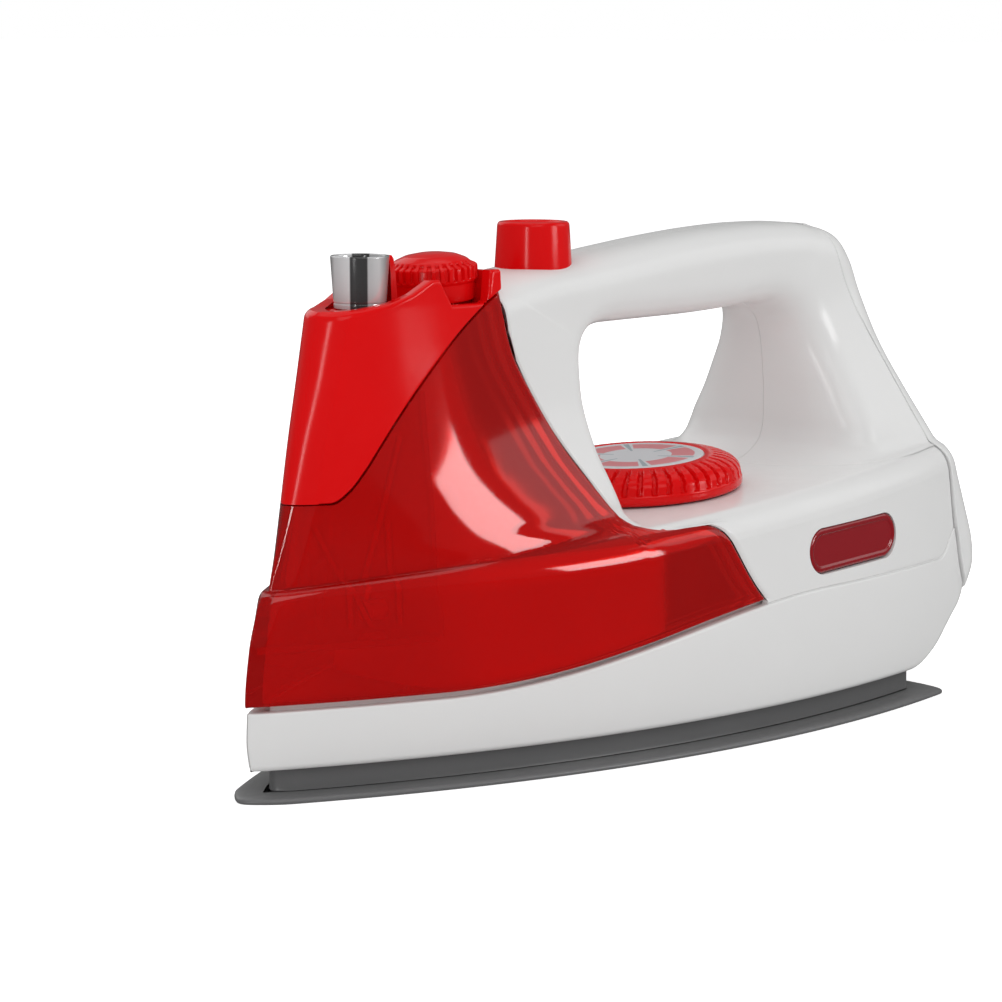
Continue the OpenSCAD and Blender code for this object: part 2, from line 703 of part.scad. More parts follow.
tank_plate_shares = [0.28, 0.32, 0.36, 0.4, 0.44, 0.5, 0.58, 0.66, 0.74];
// Inner half width of the tank at a place
function tank_half(s, z) = z < deck_z(s) - deck_round
    ? ogive(s, skirt_inset + deck_round / 4) - wall
    : soft_min(ogive(s, lookup(z / grip_h, tower_inset_shares) * sole_w),
        lookup(z / grip_h, tower_wide_shares) * sole_w) - wall;
module tank_plate(grow) {
    s = tank_back_share * sole_l;
    edge = [for (h = tank_plate_shares) [tank_half(s, h * grip_h) - fit_gap + grow, h * grip_h]];
    translate([nose_x + s - grow, 0, 0]) rotate([90, 0, 90]) linear_extrude(tank_plate_t + 2 * grow)
        polygon(concat(edge, [for (i = [len(edge) - 1 : -1 : 0]) [-edge[i][0], edge[i][1]]]));
}
module tank_back() {
    color(red, 0.6) difference() {
        tank_plate(0);
        tube_holes();
    }
}
module tank_floor_outline(grow) {
    z = tank_floor_share * grip_h;
    tip = lookup(tank_floor_share, low_tip_shares) * sole_l + wall + 2 * fit_gap - grow;
    back = tank_back_share * sole_l - fit_gap + grow;
    side = [for (i = [0 : steps]) let(s = mix(tip, back, along(i)))
        [nose_x + s, max(4 * least, (ogive(s, skirt_inset + deck_round / 8) - wall - fit_gap + grow)
            * rounded(s - tip, nose_r / 2, 2))]];
    polygon(concat([for (p = side) [p[0], -p[1]]], [for (i = [steps : -1 : 0]) side[i]]));
}
module tank_floor() {
    color(red, 0.6) translate([0, 0, tank_floor_share * grip_h])
        linear_extrude(tank_plate_t) tank_floor_outline(0);
}

fin_t = 1.6;
barb_r = 2;
// What the cap carries joins its wall above its lower edge, and keeps clear of the tank's wall below it
module cap_room() {
    intersection() {
        tower_body(-wall / 2);
        union() {
            over_cap_edge(0);
            tower_body(-wall - fit_gap);
        }
    }
}
module nose_cap() {
    color(red) difference() {
        union() {
            intersection() {
                difference() {
                    tower_body(0);
                    tower_body(-wall);
                }
                cap_zone(0);
            }
            // The floor that carries the nozzle and the filler
            intersection() {
                cap_room();
                translate([nose_x, -reach / 2, cap_floor_z - wall]) cube([cap_back - nose_x, reach, wall]);
            }
            // The horns beside the filler
            intersection() {
                cap_room();
                translate([at_s(horn_share), -reach / 2, cap_floor_z - wall / 2])
                    cube([horn_l_share * sole_l, reach, filler_ring_z + wall]);
            }
            // The fin between the nozzle and the filler
            hull() {
                translate([nose_x + nozzle_at + nozzle_top_r + fin_t, 0, cap_floor_z - over])
                    cube([2 * fin_t, sole_w / 9, over], center = true);
                translate([nose_x + nozzle_at + nozzle_top_r + fin_t, 0, cap_floor_z + nozzle_h - over / 2])
                    cube([fin_t / 2, sole_w / 30, over], center = true);
            }
            // Ribs behind the front wall
            intersection() {
                cap_ribs();
                tower_body(-wall / 2);
            }
        }
        on_filler() translate([0, 0, -2 * wall]) cylinder(r = neck_bore_r + neck_wall + fit_gap, h = reach);
        translate([nose_x + nozzle_at, 0, 0]) cylinder(r = barb_r + fit_gap, h = reach);
        on_filler() cylinder(r = filler_r + 2 * fit_gap, h = reach);
    }
}
horn_share = 0.324;
horn_l_share = 0.0132;
cap_rib_low_share = 0.6;
cap_rib_high_share = 0.85;
module cap_ribs() {
    for (k = [0 : 7]) {
        z = mix(cap_rib_low_share, cap_rib_high_share, k / 7) * grip_h;
        s = lookup(z / grip_h, tower_tip_shares) * sole_l;
        hull() for (d = [0, wall + over])
            translate([nose_x + s + d, 0, z]) cube([over, sole_w / 9, rib_t], center = true);
    }
}

module nozzle_sleeve() {
    color("silver") translate([nose_x + nozzle_at, 0, cap_floor_z]) difference() {
        cylinder(r1 = nozzle_foot_r, r2 = nozzle_top_r, h = nozzle_h);
        translate([0, 0, -over]) cylinder(r = nozzle_foot_r - nozzle_wall, h = nozzle_h + 2 * over);
    }
}
insert_below = 1.2;
barb_l = 5;
module nozzle_insert() {
    color(grey) translate([nose_x + nozzle_at, 0, cap_floor_z]) difference() {
        union() {
            cylinder(r = nozzle_foot_r - nozzle_wall - fit_gap, h = nozzle_h - insert_below);
            translate([0, 0, -wall - barb_l]) cylinder(r = barb_r, h = wall + barb_l + over);
        }
        translate([0, 0, -wall - barb_l - over]) cylinder(r = orifice_r, h = reach);
    }
}

neck_above = 3.2;
neck_below = 10;
module filler_neck() {
    color(red, 0.6) on_filler() difference() {
        translate([0, 0, -neck_below]) cylinder(r = neck_bore_r + neck_wall, h = neck_below + neck_above);
        translate([0, 0, -neck_below - over]) cylinder(r = neck_bore_r, h = neck_below + neck_above + 2 * over);
    }
}
seal_t = 0.8;
plug_l = 5;
filler_ring_z = neck_above + seal_t + fit_gap;
knurls = 40;
knurl_h = 0.4;
module filler_cap() {
    color(red) on_filler() {
        difference() {
            union() {
                translate([0, 0, filler_ring_z]) linear_extrude(filler_ring_h) polygon([
                    for (i = [0 : 2 * knurls - 1]) let(a = 180 * i / knurls,
                        r = filler_r - (i % 2) * knurl_h) [r * cos(a), r * sin(a)]]);
                // The dome is a slice of a ball
                translate([0, 0, filler_ring_z + filler_ring_h]) intersection() {
                    translate([0, 0, filler_dome_h - dome_ball_r]) sphere(r = dome_ball_r);
                    cylinder(r = filler_r, h = filler_dome_h);
                }
                translate([0, 0, fit_gap]) cylinder(r = filler_r - wall / 4, h = filler_ring_z);
            }
            translate([0, 0, -over]) cylinder(r = neck_bore_r + neck_wall + fit_gap, h = over + filler_ring_z);
        }
        translate([0, 0, neck_above - plug_l]) cylinder(r = neck_bore_r - run_gap,
            h = plug_l + seal_t + 2 * fit_gap);
    }
}
dome_r = filler_r - 1;
dome_ball_r = (pow(dome_r, 2) + pow(filler_dome_h, 2)) / (2 * filler_dome_h);
module filler_seal() {
    color("black") on_filler() translate([0, 0, neck_above + fit_gap / 2]) difference() {
        cylinder(r = neck_bore_r + neck_wall, h = seal_t);
        translate([0, 0, -over]) cylinder(r = neck_bore_r, h = seal_t + 2 * over);
    }
}

button_taper_l = 11.8;
button_taper_z = button_top - button_taper_l;
button_wall = 1.5;
module spray_button() {
    color(red) on_button() rotate_extrude() polygon([[0, button_top], [button_top_r - button_wall / 2, button_top],
        [button_top_r, button_top - button_wall / 2], [button_r - run_gap, button_taper_z],
        [button_r, button_taper_z], [button_r, button_low], [button_r - button_wall, button_low],
        [button_r - button_wall, button_taper_z], [button_top_r - button_wall, button_top - 2 * button_wall],
        [0, button_top - 2 * button_wall]]);
}
bush_r = 9;
guide_drop = 21.2;
guide_low = button_top - guide_drop;
guide_h = 8.4;
guide_wall = 1.8;
guide_floor = 1.2;
// The button stands above the guide's floor by its travel
button_low = guide_low + guide_floor + button_travel + fit_gap;
// The guide is a cup. The button slides in it, and the plunger's stem goes through its floor
module button_guide() {
    color(white) difference() {
        on_button() translate([0, 0, guide_low]) cylinder(r = button_r + guide_wall, h = guide_h);
        on_button() translate([0, 0, guide_low + guide_floor]) cylinder(r = button_r + run_gap, h = guide_h);
        on_pump() translate([0, 0, guide_low - over]) cylinder(r = stem_r + fit_gap, h = guide_h);
    }
}
stem_r = 1.5;
plunger_l = 8;
// How far the plunger's foot hangs below the guide
plunger_drop = 10.6;
plunger_low = guide_low - plunger_drop;
pump_top = guide_low - over;
pump_l = 25.6;
pump_bottom = pump_top - pump_l;
pump_wall = 1.2;
spring_r = 3;
spring_wall = 0.8;
module pump_plunger() {
    color(white) on_pump() {
        translate([0, 0, plunger_low]) cylinder(r = plunger_r, h = plunger_l);
        cylinder_between(plunger_low + plunger_l, button_top - 2 * button_wall, stem_r);
    }
}
module cylinder_between(low, high, r) { translate([0, 0, low]) cylinder(r = r, h = high - low); }
module pump_cylinder() {
    color(white) on_pump() difference() {
        cylinder_between(pump_bottom, pump_top, plunger_r + run_gap + pump_wall);
        cylinder_between(pump_bottom + pump_wall, pump_top + over, plunger_r + run_gap);
        cylinder_between(pump_bottom - over, pump_bottom + 2 * pump_wall, orifice_r * 2);
    }
}
module button_spring() {
    color("silver") on_button() difference() {
        cylinder_between(guide_low + guide_floor + spring_gap, button_top - 2 * button_wall - spring_gap, spring_r);
        cylinder_between(guide_low, button_top, spring_r - spring_wall);
    }
}
spring_gap = 0.05;
// A tube with one square turn: down from the nozzle and back to the pump
module elbow_tube(x_from, z_from, x_to, z_to) {
    translate([x_from, 0, z_to]) cylinder(r = hose_r, h = z_from - z_to);
    translate([x_from, 0, z_to]) sphere(r = hose_r);
    translate([min(x_from, x_to), 0, z_to]) rotate([0, 90, 0]) cylinder(r = hose_r, h = abs(x_to - x_from));
}
module spray_hose() {
    color("white", 0.7) elbow_tube(nose_x + nozzle_at, cap_floor_z - wall - barb_l - fit_gap,
        nose_x + button_at - pump_offset - plunger_r - pump_wall - 2 * fit_gap, hose_z_share * grip_h);
}
module dip_tube() {
    color("white", 0.7) elbow_tube(nose_x + button_at - pump_offset, pump_bottom - fit_gap,
        at_s(0.19), dip_z_share * grip_h);
}

rib_depth = 0.8;
shoulder_share = 0.73;
module dial() {
    color(red) on_deck() {
        difference() {
            union() {
                // The ribbed rim: every other point of its outline stands out
                translate([0, 0, 3 * fit_gap]) linear_extrude(dial_h - 2 * wall) polygon([
                    for (i = [0 : 4 * dial_ribs - 1]) let(a = 90 * i / dial_ribs,
                        r = dial_r - (i % 4 < 2 ? 0 : rib_depth)) [r * cos(a), r * sin(a)]]);
                rotate_extrude() polygon([[0, fit_gap], [dial_r - wall / 2, fit_gap], [dial_r - wall / 4, wall],
                    [dial_r - 2 * rib_depth, dial_h - 1.4 * wall], [shoulder_share * dial_r, dial_h - fit_gap],
                    [shoulder_share * dial_r - wall / 4, dial_h], [0, dial_h]]);
                translate([0, 0, -shaft_l]) cylinder(r = dial_shaft_r, h = shaft_l + over);
            }
            translate([0, 0, dial_h - disc_t]) cylinder(r = disc_r + fit_gap, h = wall);
            translate([0, 0, -shaft_l - over]) cylinder(r = screw_r, h = screw_grip + over);
        }
    }
}
disc_t = 0.5;
shaft_l = 9.4;
bush_l = 9;
module dial_disc() {
    color("gainsboro") on_deck() translate([0, 0, dial_h - disc_t]) cylinder(r = disc_r, h = disc_t);
}
module dial_bush() {
    color(white) on_deck() translate([0, 0, -bush_l]) difference() {
        union() {
            cylinder(r = bush_r, h = bush_l);
            cylinder(r = bush_r + wall, h = bush_l - wall - fit_gap * 2);
        }
        translate([0, 0, -over]) cylinder(r = dial_shaft_r + run_gap, h = bush_l + 2 * over);
    }
}
washer_r = 6;
module dial_screw() {
    color("silver") on_deck() {
        translate([0, 0, -shaft_l - over]) cylinder(r = washer_r, h = over);
        translate([0, 0, -shaft_l - over - wall]) cylinder(r = head_r, h = wall);
        translate([0, 0, -shaft_l - over]) cylinder(r = screw_r - run_gap, h = screw_grip);
    }
}

lens_t = 2.9;
lens_sunk = 0.6;
lens_rim = 1.5;
lens_rim_t = 1.2;
// The room that the rim behind a lens needs in the housing and in the skirt
module rim_room() {
    on_lamp() translate([0, 0, lens_sunk + lens_t - fit_gap]) linear_extrude(lens_rim_t + 2 * fit_gap)
        lamp_outline(lens_rim + fit_gap);
}
module lamp_window() {
    color(deep_red, 0.8) on_lamp() {
        translate([0, 0, lens_sunk]) linear_extrude(lens_t) lamp_outline(0);
        translate([0, 0, lens_sunk + lens_t - least]) linear_extrude(lens_rim_t) lamp_outline(lens_rim);
    }
}
module lamp_window_right() { lamp_window(); }
module lamp_window_left() { mirror([0, 1, 0]) lamp_window(); }
module circuit_board() {
    color("green") translate([at_s(board_from_share), -board_half, board_z])
        cube([(board_to_share - board_from_share) * sole_l, 2 * board_half, board_t]);
}
lamp_bulb_r = 2.5;
lamp_bulb_l = 5;
module lamp(side) {
    color("red") translate([nose_x + lamp_at, side * (board_half - lamp_bulb_l),
            board_z - lamp_bulb_r - fit_gap / 2]) rotate([-90 * side, 0, 0]) {
        cylinder(r = lamp_bulb_r, h = lamp_bulb_l + lamp_bulb_r);
        translate([0, 0, lamp_bulb_l + lamp_bulb_r]) sphere(r = lamp_bulb_r);
    }
}
module lamp_left() { lamp(-1); }
module lamp_right() { lamp(1); }

// The two cells lie across the heel, one above the other
cell_at_share = 1.015;
cell_low_share = 0.272;
cell_gap = 1;
box_wall = 1.2;
box_half = cell_l / 2 + 2.2;
box_low = cell_low_share * grip_h - cell_r - fit_gap - box_wall;
box_high = cell_low_share * grip_h + 3 * cell_r + cell_gap + fit_gap + box_wall;
module at_cell(k) {
    translate([at_s(cell_at_share), 0, cell_low_share * grip_h + k * (2 * cell_r + cell_gap)])
        rotate([90, 0, 0]) children();
}
module battery_box() {
    color("black") difference() {
        union() {
            translate([at_s(cell_at_share) - cell_r - fit_gap - box_wall, -box_half - box_wall, box_low])
                cube([2 * cell_r + fit_gap + box_wall, 2 * (box_half + box_wall), box_high - box_low]);
            // The boss for the door's screw
            translate([at_s(door_screw_s_share) - door_boss_l - wall - fit_gap, 0, box_high + boss_r - least])
                rotate([0, 90, 0]) cylinder(r = boss_r, h = door_boss_l);
        }
        translate([at_s(cell_at_share) - cell_r - fit_gap, -box_half, box_low + box_wall])
            cube([sole_l, 2 * box_half, box_high - box_low - 2 * box_wall]);
        on_door_screw() translate([0, 0, -screw_grip - 2 * wall]) cylinder(r = screw_r, h = sole_l);
    }
}
module battery(k) { color("dimgray") at_cell(k) cylinder(r = cell_r, h = cell_l, center = true); }
module battery_lower() { battery(0); }
module battery_upper() { battery(1); }
contact_t = 0.6;
contact_r = 3.5;
contact_nub = 1.4;
// One bent strip serves both cells at each end of the box
module contact_strip() {
    color("silver") {
        translate([at_s(cell_at_share) - contact_r, box_half - contact_t - least, cell_low_share * grip_h - contact_r])
            cube([2 * contact_r, contact_t, 2 * contact_r + 2 * cell_r + cell_gap]);
        for (k = [0, 1]) at_cell(k) translate([0, 0, -box_half + contact_t / 2])
            cylinder(r = contact_r / 2, h = contact_nub + contact_t / 2);
    }
}
module contact_right() { contact_strip(); }
module contact_left() { mirror([0, 1, 0]) contact_strip(); }

module housing_screw(k) {
    color("silver") at_housing_screws([k]) {
        translate([0, 0, -screw_seat]) cylinder(r = screw_r - run_gap, h = screw_seat + screw_grip);
        translate([0, 0, -screw_seat - wall]) cylinder(r = head_r, h = wall);
    }
}
module sole_screw(k) {
    color("silver") at_sole_screws([k]) {
        translate([0, 0, flange_t + countersink]) cylinder(r = screw_r - run_gap, h = sole_screw_l);
        translate([0, 0, fit_gap]) cylinder(r = head_r, h = flange_t + countersink - fit_gap);
    }
}
module housing_screw_1() { housing_screw(0); }
module housing_screw_2() { housing_screw(1); }
module housing_screw_3() { housing_screw(2); }
module housing_screw_4() { housing_screw(3); }
module sole_screw_1() { sole_screw(0); }
module sole_screw_2() { sole_screw(1); }
module sole_screw_3() { sole_screw(2); }
module sole_screw_4() { sole_screw(3); }

soleplate();
skirt_left();
skirt_right();
housing_left();
housing_right();
rear_cover();
water_tank();
tank_core();
tank_back();
tank_floor();
nose_cap();
nozzle_sleeve();
nozzle_insert();
filler_neck();
filler_cap();
filler_seal();
spray_button();
button_guide();
button_spring();
pump_plunger();
pump_cylinder();
spray_hose();
dip_tube();
dial();
dial_disc();
dial_bush();
dial_screw();
lamp_window_left();
lamp_window_right();
circuit_board();
lamp_left();
lamp_right();
battery_box();
battery_lower();
battery_upper();
contact_left();
contact_right();
battery_door();
door_screw();
housing_screw_1();
housing_screw_2();
housing_screw_3();
housing_screw_4();
sole_screw_1();
sole_screw_2();
sole_screw_3();
sole_screw_4();
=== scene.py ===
"""Toy steam iron: smooth shells, tank, cap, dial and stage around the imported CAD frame."""

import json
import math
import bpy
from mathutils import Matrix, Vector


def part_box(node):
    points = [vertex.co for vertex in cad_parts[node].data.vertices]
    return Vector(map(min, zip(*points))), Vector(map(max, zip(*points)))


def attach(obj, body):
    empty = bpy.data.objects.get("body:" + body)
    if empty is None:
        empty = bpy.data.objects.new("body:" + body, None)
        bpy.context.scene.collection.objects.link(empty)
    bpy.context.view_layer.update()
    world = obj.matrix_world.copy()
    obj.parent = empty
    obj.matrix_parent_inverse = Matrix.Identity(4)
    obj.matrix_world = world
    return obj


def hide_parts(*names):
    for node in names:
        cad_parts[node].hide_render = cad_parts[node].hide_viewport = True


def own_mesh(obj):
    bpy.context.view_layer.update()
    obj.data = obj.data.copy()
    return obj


bl_info = {
    "name": "Toy Steam Iron",
    "version": (1, 0, 0),
    "blender": (4, 5, 0),
    "location": "View3D > Sidebar > Toy Iron",
    "description": "Builds the moulded shells, the clear tank and the fittings of a toy steam iron",
    "category": "Object",
}

from types import SimpleNamespace

import bmesh
import bpy
import numpy as np
from bpy.props import FloatProperty, FloatVectorProperty, IntProperty, PointerProperty
from mathutils import Matrix

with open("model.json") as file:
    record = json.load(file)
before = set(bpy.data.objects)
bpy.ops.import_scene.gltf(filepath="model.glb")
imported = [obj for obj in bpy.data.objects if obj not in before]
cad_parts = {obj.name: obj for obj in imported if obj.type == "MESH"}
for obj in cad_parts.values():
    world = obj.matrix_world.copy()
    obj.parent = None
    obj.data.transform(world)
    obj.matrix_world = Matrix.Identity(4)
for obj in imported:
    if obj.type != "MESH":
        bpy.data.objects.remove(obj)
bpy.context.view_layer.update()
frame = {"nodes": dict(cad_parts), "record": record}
NOSE_X = 1000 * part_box("soleplate")[0][0]


# ---------------- sizes and colours


class IronSizes(bpy.types.PropertyGroup):
    """Sizes of the toy iron that a user may change."""

    sole_length: FloatProperty(
        name="Sole length", description="Length of the sole flange", default=0.202, unit="LENGTH")
    sole_width: FloatProperty(
        name="Sole width", description="Greatest width of the sole flange", default=0.0942, unit="LENGTH")
    deck_height: FloatProperty(
        name="Deck height", description="Height of the deck at the nose end of its slope",
        default=0.0433, unit="LENGTH")
    edge_round: FloatProperty(
        name="Deck edge", description="Radius of the rounded edge of the deck", default=0.006, unit="LENGTH")
    shell_wall: FloatProperty(
        name="Wall", description="Thickness of the moulded shells", default=0.0018, unit="LENGTH")
    seam_gap: FloatProperty(
        name="Seam", description="Open line between the skirt and the tank", default=0.0013, unit="LENGTH")
    joint_gap: FloatProperty(
        name="Joint", description="Clearance between neighbouring shells", default=0.0003, unit="LENGTH")
    dial_ribs: IntProperty(name="Dial ribs", description="Number of ribs around the dial", default=44)


class IronColours(bpy.types.PropertyGroup):
    """Colours of the toy iron's plastics and metals."""

    opaque_red: FloatVectorProperty(
        name="Opaque red", description="Cap, button, filler and dial",
        subtype="COLOR", size=3, default=(0.74, 0.003, 0.004))
    clear_red: FloatVectorProperty(
        name="Clear red", description="Tint of one surface of the tank",
        subtype="COLOR", size=3, default=(1.0, 0.2, 0.17))
    white: FloatVectorProperty(
        name="White", description="Housing, skirt and cover",
        subtype="COLOR", size=3, default=(0.78, 0.78, 0.775))
    sole_grey: FloatVectorProperty(
        name="Sole grey", description="Sole", subtype="COLOR", size=3, default=(0.15, 0.15, 0.152))
    lamp_red: FloatVectorProperty(
        name="Lamp red", description="Lamp windows", subtype="COLOR", size=3, default=(0.40, 0.008, 0.016))
    floor: FloatVectorProperty(
        name="Floor", description="Floor under the iron", subtype="COLOR", size=3, default=(0.9, 0.9, 0.9))


def sizes():
    """The sizes in millimetres."""
    p = bpy.context.scene.iron_sizes
    return SimpleNamespace(
        sole_l=1000 * p.sole_length, sole_w=1000 * p.sole_width, deck_h=1000 * p.deck_height,
        edge=1000 * p.edge_round, wall=1000 * p.shell_wall, seam=1000 * p.seam_gap, gap=1000 * p.joint_gap,
        ribs=p.dial_ribs)


# ---------------- camera and lights, in metres and watts

VIEW_TURN, VIEW_RISE = math.radians(-49), math.radians(8)
CAMERA_PLACE = (-0.6198, -0.5116, 0.1650)
LIGHTS = (
    ("key", (-0.55, -0.75, 0.75), 0.7, 2.5), ("side", (0.75, -0.55, 0.5), 0.6, 1.1),
    ("top", (0.05, 0.1, 1.1), 0.9, 2.0), ("back", (0.2, 0.9, 0.6), 0.8, 1.4),
    ("glow", (0.38, -1.0, 0.34), 0.34, 3.2), ("strip", (-1.0, -0.36, 0.15), 0.1, 1.8))
FLOOR_GLOW, WORLD_SOFT, WORLD_DIM = 0.62, 0.62, 0.16

# ---------------- side view: mm behind the nose, height in mm

DECK_SLOPE = 0.075
PITCH = math.atan(DECK_SLOPE)
ARC_REACH, ARC_MIDDLE = 0.783, 0.752  # length and widest place of the flange's arc, in lengths of the sole
BODY_FOOT = 6.4
NOZZLE_S, FILLER_S, BUTTON_S, DIAL_S = 37.4, 60.6, 94.3, 132.0
CAP_FLOOR = 101.8
LAMP_S, LAMP_Z, LAMP_LONG, LAMP_HIGH, LAMP_TILT = 162.5, 40.8, 36.0, 10.2, math.radians(1.5)
BLEND_S = 188.0  # behind it the rear post runs into the lower body
CREST = (8, 17.01)  # the handle's stations that lie on its top line
FOOT_R = 4.0
PARTING, GRIP_PARTING = 0.12, 0.05  # how far the halves of the skirt and of the handle stay from the middle
SIDES = ((-1, "left"), (1, "right"))

LOW_TIP = [
    (6.4, 3.2), (13, 2.2), (18.8, 2.4), (20.5, 1.8), (32.4, 3.2), (40.6, 5.9), (43.4, 7.3), (59, 12)]
TOWER_TIP = [
    (37.6, 8.3), (44, 9.2), (51.6, 11.5), (60.6, 13.8), (75, 17), (87.6, 20.2), (98, 22.6), (100.8, 23.3),
    (101.8, 24.3), (110, 27)]
TOWER_WIDE = [
    (37.6, 48), (46.1, 40), (50, 35), (54, 28), (58, 24.5), (62, 22), (67.9, 19.3), (76, 17.2), (86, 15.4),
    (96, 14), (105, 13.2), (110, 12.9)]
TOWER_INSET = [(39.9, 8), (61.6, 9.2), (102.6, 12.4)]
TANK_EDGE = [
    (67.9, 105), (69.1, 99), (70.9, 91), (76, 81.5), (82.4, 71), (88.5, 62), (91.5, 57), (93.4, 53.2),
    (96.5, 50.9), (101, 50.3), (106.5, 50.4), (111.5, 50.5), (115.2, 49), (117.5, 46.6), (119.3, 44),
    (123, 38.3), (126.2, 34.1), (128.5, 31.7)]
CAP_EDGE = [
    (19, 62), (22, 62.1), (25, 64.2), (28.5, 68.3), (32, 73.2), (35.5, 77.9), (39.5, 82.7), (44, 87.3),
    (49, 91.8), (54, 95.8), (59, 99.2), (64, 102.2), (68.6, 104.6)]
CAP_TOP = [
    (24.3, 101.8), (30.1, 102.3), (36, 103.3), (41, 105), (46.1, 107.7), (48.7, 107.7), (52.9, 102),
    (64.2, 102), (65.2, 109), (68.3, 109)]
OUTER = [
    (30, 101.5), (68.4, 104.8), (84, 107.3), (104, 109.3), (121, 111), (139, 112.6), (157, 113.7),
    (175, 114), (188, 113.3), (197.6, 110.8), (202, 105.5), (204.6, 98), (208, 87), (213, 75), (218, 63),
    (222, 52), (224.6, 46), (227.3, 38), (228.7, 31), (228.6, 28), (227.2, 24.5), (223, 20), (215.9, 15.4),
    (209.5, 10.9), (203, 8), (198, 6.4)]
REAR_SEAM = [
    (191.2, 113.2), (191.5, 110), (193.5, 102), (196.5, 94), (203.4, 79), (207.5, 66), (211.1, 54),
    (213.9, 37.6), (216.3, 29), (219.6, 22)]
REAR_WIDE = [
    (36, 34), (44, 32.6), (52, 31.4), (59, 29.9), (61, 29.2), (65, 27.4), (72, 24.1), (80, 20.6),
    (89.5, 17.3), (98.5, 14.9), (106, 13.8), (114, 13.2)]
# The handle, station by station: opening edge, outer end and half width
HANDLE = np.array([
    (106.5, 51.18, 96.2, 50.4, 24.8), (103.0, 52.6, 94.9, 52.1, 24.3), (101.2, 55.4, 92.3, 55.5, 23.6),
    (100.1, 60.0, 89.7, 60.0, 21.8), (97.9, 69.0, 83.8, 69.0, 18.2), (96.6, 79.0, 77.5, 79.0, 15.6),
    (96.8, 85.0, 72.2, 88.5, 14.6), (97.3, 88.3, 69.5, 98.0, 14.0), (98.2, 90.2, 68.3, 104.8, 13.6),
    (99.8, 92.0, 79.0, 106.5, 13.3), (103.3, 93.4, 94.0, 108.3, 13.1), (110.0, 94.0, 108.0, 109.7, 13.0),
    (120.0, 94.0, 121.0, 111.0, 12.9), (138.0, 94.0, 139.0, 112.6, 12.9), (155.0, 94.4, 157.0, 113.7, 13.0),
    (165.0, 95.0, 172.0, 114.0, 13.1), (171.5, 94.6, 184.0, 113.6, 13.3), (175.0, 93.2, 191.1, 113.1, 13.7),
    (177.5, 91.0, 192.4, 106.0, 14.2), (178.9, 88.5, 194.8, 98.5, 15.1), (180.2, 83.5, 198.4, 89.5, 17.3),
    (180.9, 78.0, 202.7, 80.0, 20.6), (181.4, 71.5, 205.5, 72.0, 24.1), (181.3, 65.5, 207.6, 65.0, 27.4),
    (180.0, 61.3, 208.5, 62.4, 28.7), (177.0, 58.7, 209.0, 60.7, 29.3), (173.0, 56.9, 209.2, 59.5, 29.7),
    (168.5, 55.82, 209.4, 58.9, 29.9)])


def mix(a, b, t):
    """From a to b by the fraction t."""
    return a + (b - a) * t


def smooth(t):
    """Three t squared less two t cubed, held between nothing and one."""
    t = np.clip(t, 0, 1)
    return t * t * (3 - 2 * t)


def cubic(u, y0, y1, m0, m1):
    """The cubic that leaves y0 with the rise m0 and reaches y1 with the rise m1, at the fraction u."""
    return ((1 + 2 * u) * (1 - u) ** 2 * y0 + u * (1 - u) ** 2 * m0
            + u * u * (3 - 2 * u) * y1 + u * u * (u - 1) * m1)


def course(x, table):
    """A smooth curve through a table of places: cubic between neighbours, with each slope the harmonic
    mean of the slopes beside it, so that it never swings past a place."""
    xs, ys = np.asarray(table, float).T
    h = np.diff(xs)
    d = np.diff(ys) / h
    m = np.zeros(len(xs))
    m[0], m[-1] = d[0], d[-1]
    same = d[:-1] * d[1:] > 0
    m[1:-1][same] = 2 * d[:-1][same] * d[1:][same] / (d[:-1][same] + d[1:][same])
    x = np.clip(x, xs[0], xs[-1])
    i = np.clip(np.searchsorted(xs, x) - 1, 0, len(h) - 1)
    return cubic((x - xs[i]) / h[i], ys[i], ys[i + 1], h[i] * m[i], h[i] * m[i + 1])


def run(line):
    """Length run along a line at each of its places."""
    return np.concatenate([[0], np.cumsum(np.hypot(*np.diff(line, axis=0).T))])


def flow(points, n=300):
    """A dense line through points: cubic along the length of the chords, with slopes from the neighbours."""
    p = np.asarray(points, float)
    w = run(p)
    m = np.gradient(p, w, axis=0)
    x = np.linspace(0, w[-1], n)
    i = np.clip(np.searchsorted(w, x) - 1, 0, len(w) - 2)
    h = (w[i + 1] - w[i])[:, None]
    return cubic((x - w[i])[:, None] / h, p[i], p[i + 1], h * m[i], h * m[i + 1])


def spaced(line, at):
    """Places at fractions of a line's length, as a column of distances and one of heights."""
    w = run(line)
    return [np.interp(at * w[-1], w, line[:, i])[:, None] for i in (0, 1)]


def traced(low, high, n, height):
    """A line of n places whose height is a function of the distance behind the nose."""
    s = np.linspace(low, high, n)
    return np.stack([s, np.broadcast_to(height(s), s.shape)], 1)


def on_line(s, line):
    """Height of a line at a distance behind the nose."""
    return np.interp(s, line[:, 0], line[:, 1])


def away(s, z, line):
    """Distance of each place from a dense line: the least distance from any of its short pieces."""
    a, d = line[:-1], np.diff(line, axis=0)
    p = np.stack([np.ravel(s), np.ravel(z)], 1)
    block = 20000
    best = np.empty(len(p))
    for start in range(0, len(p), block):
        q = p[start:start + block, None] - a[None]
        t = np.clip((q * d).sum(2) / np.maximum((d * d).sum(1), 1e-12), 0, 1)
        best[start:start + block] = np.sqrt(((q - t[..., None] * d) ** 2).sum(2).min(1))
    return best.reshape(np.shape(s))


EDGE_LINE = flow(TANK_EDGE)
CAP_LINE = flow(CAP_EDGE)
OUTER_LINE = flow(OUTER, 500)
SEAM_LINE = flow(REAR_SEAM)
REAR_LOW = OUTER_LINE[OUTER_LINE[:, 0] > 196][::-1]
REAR_LOW = REAR_LOW[REAR_LOW[:, 1] < 62]


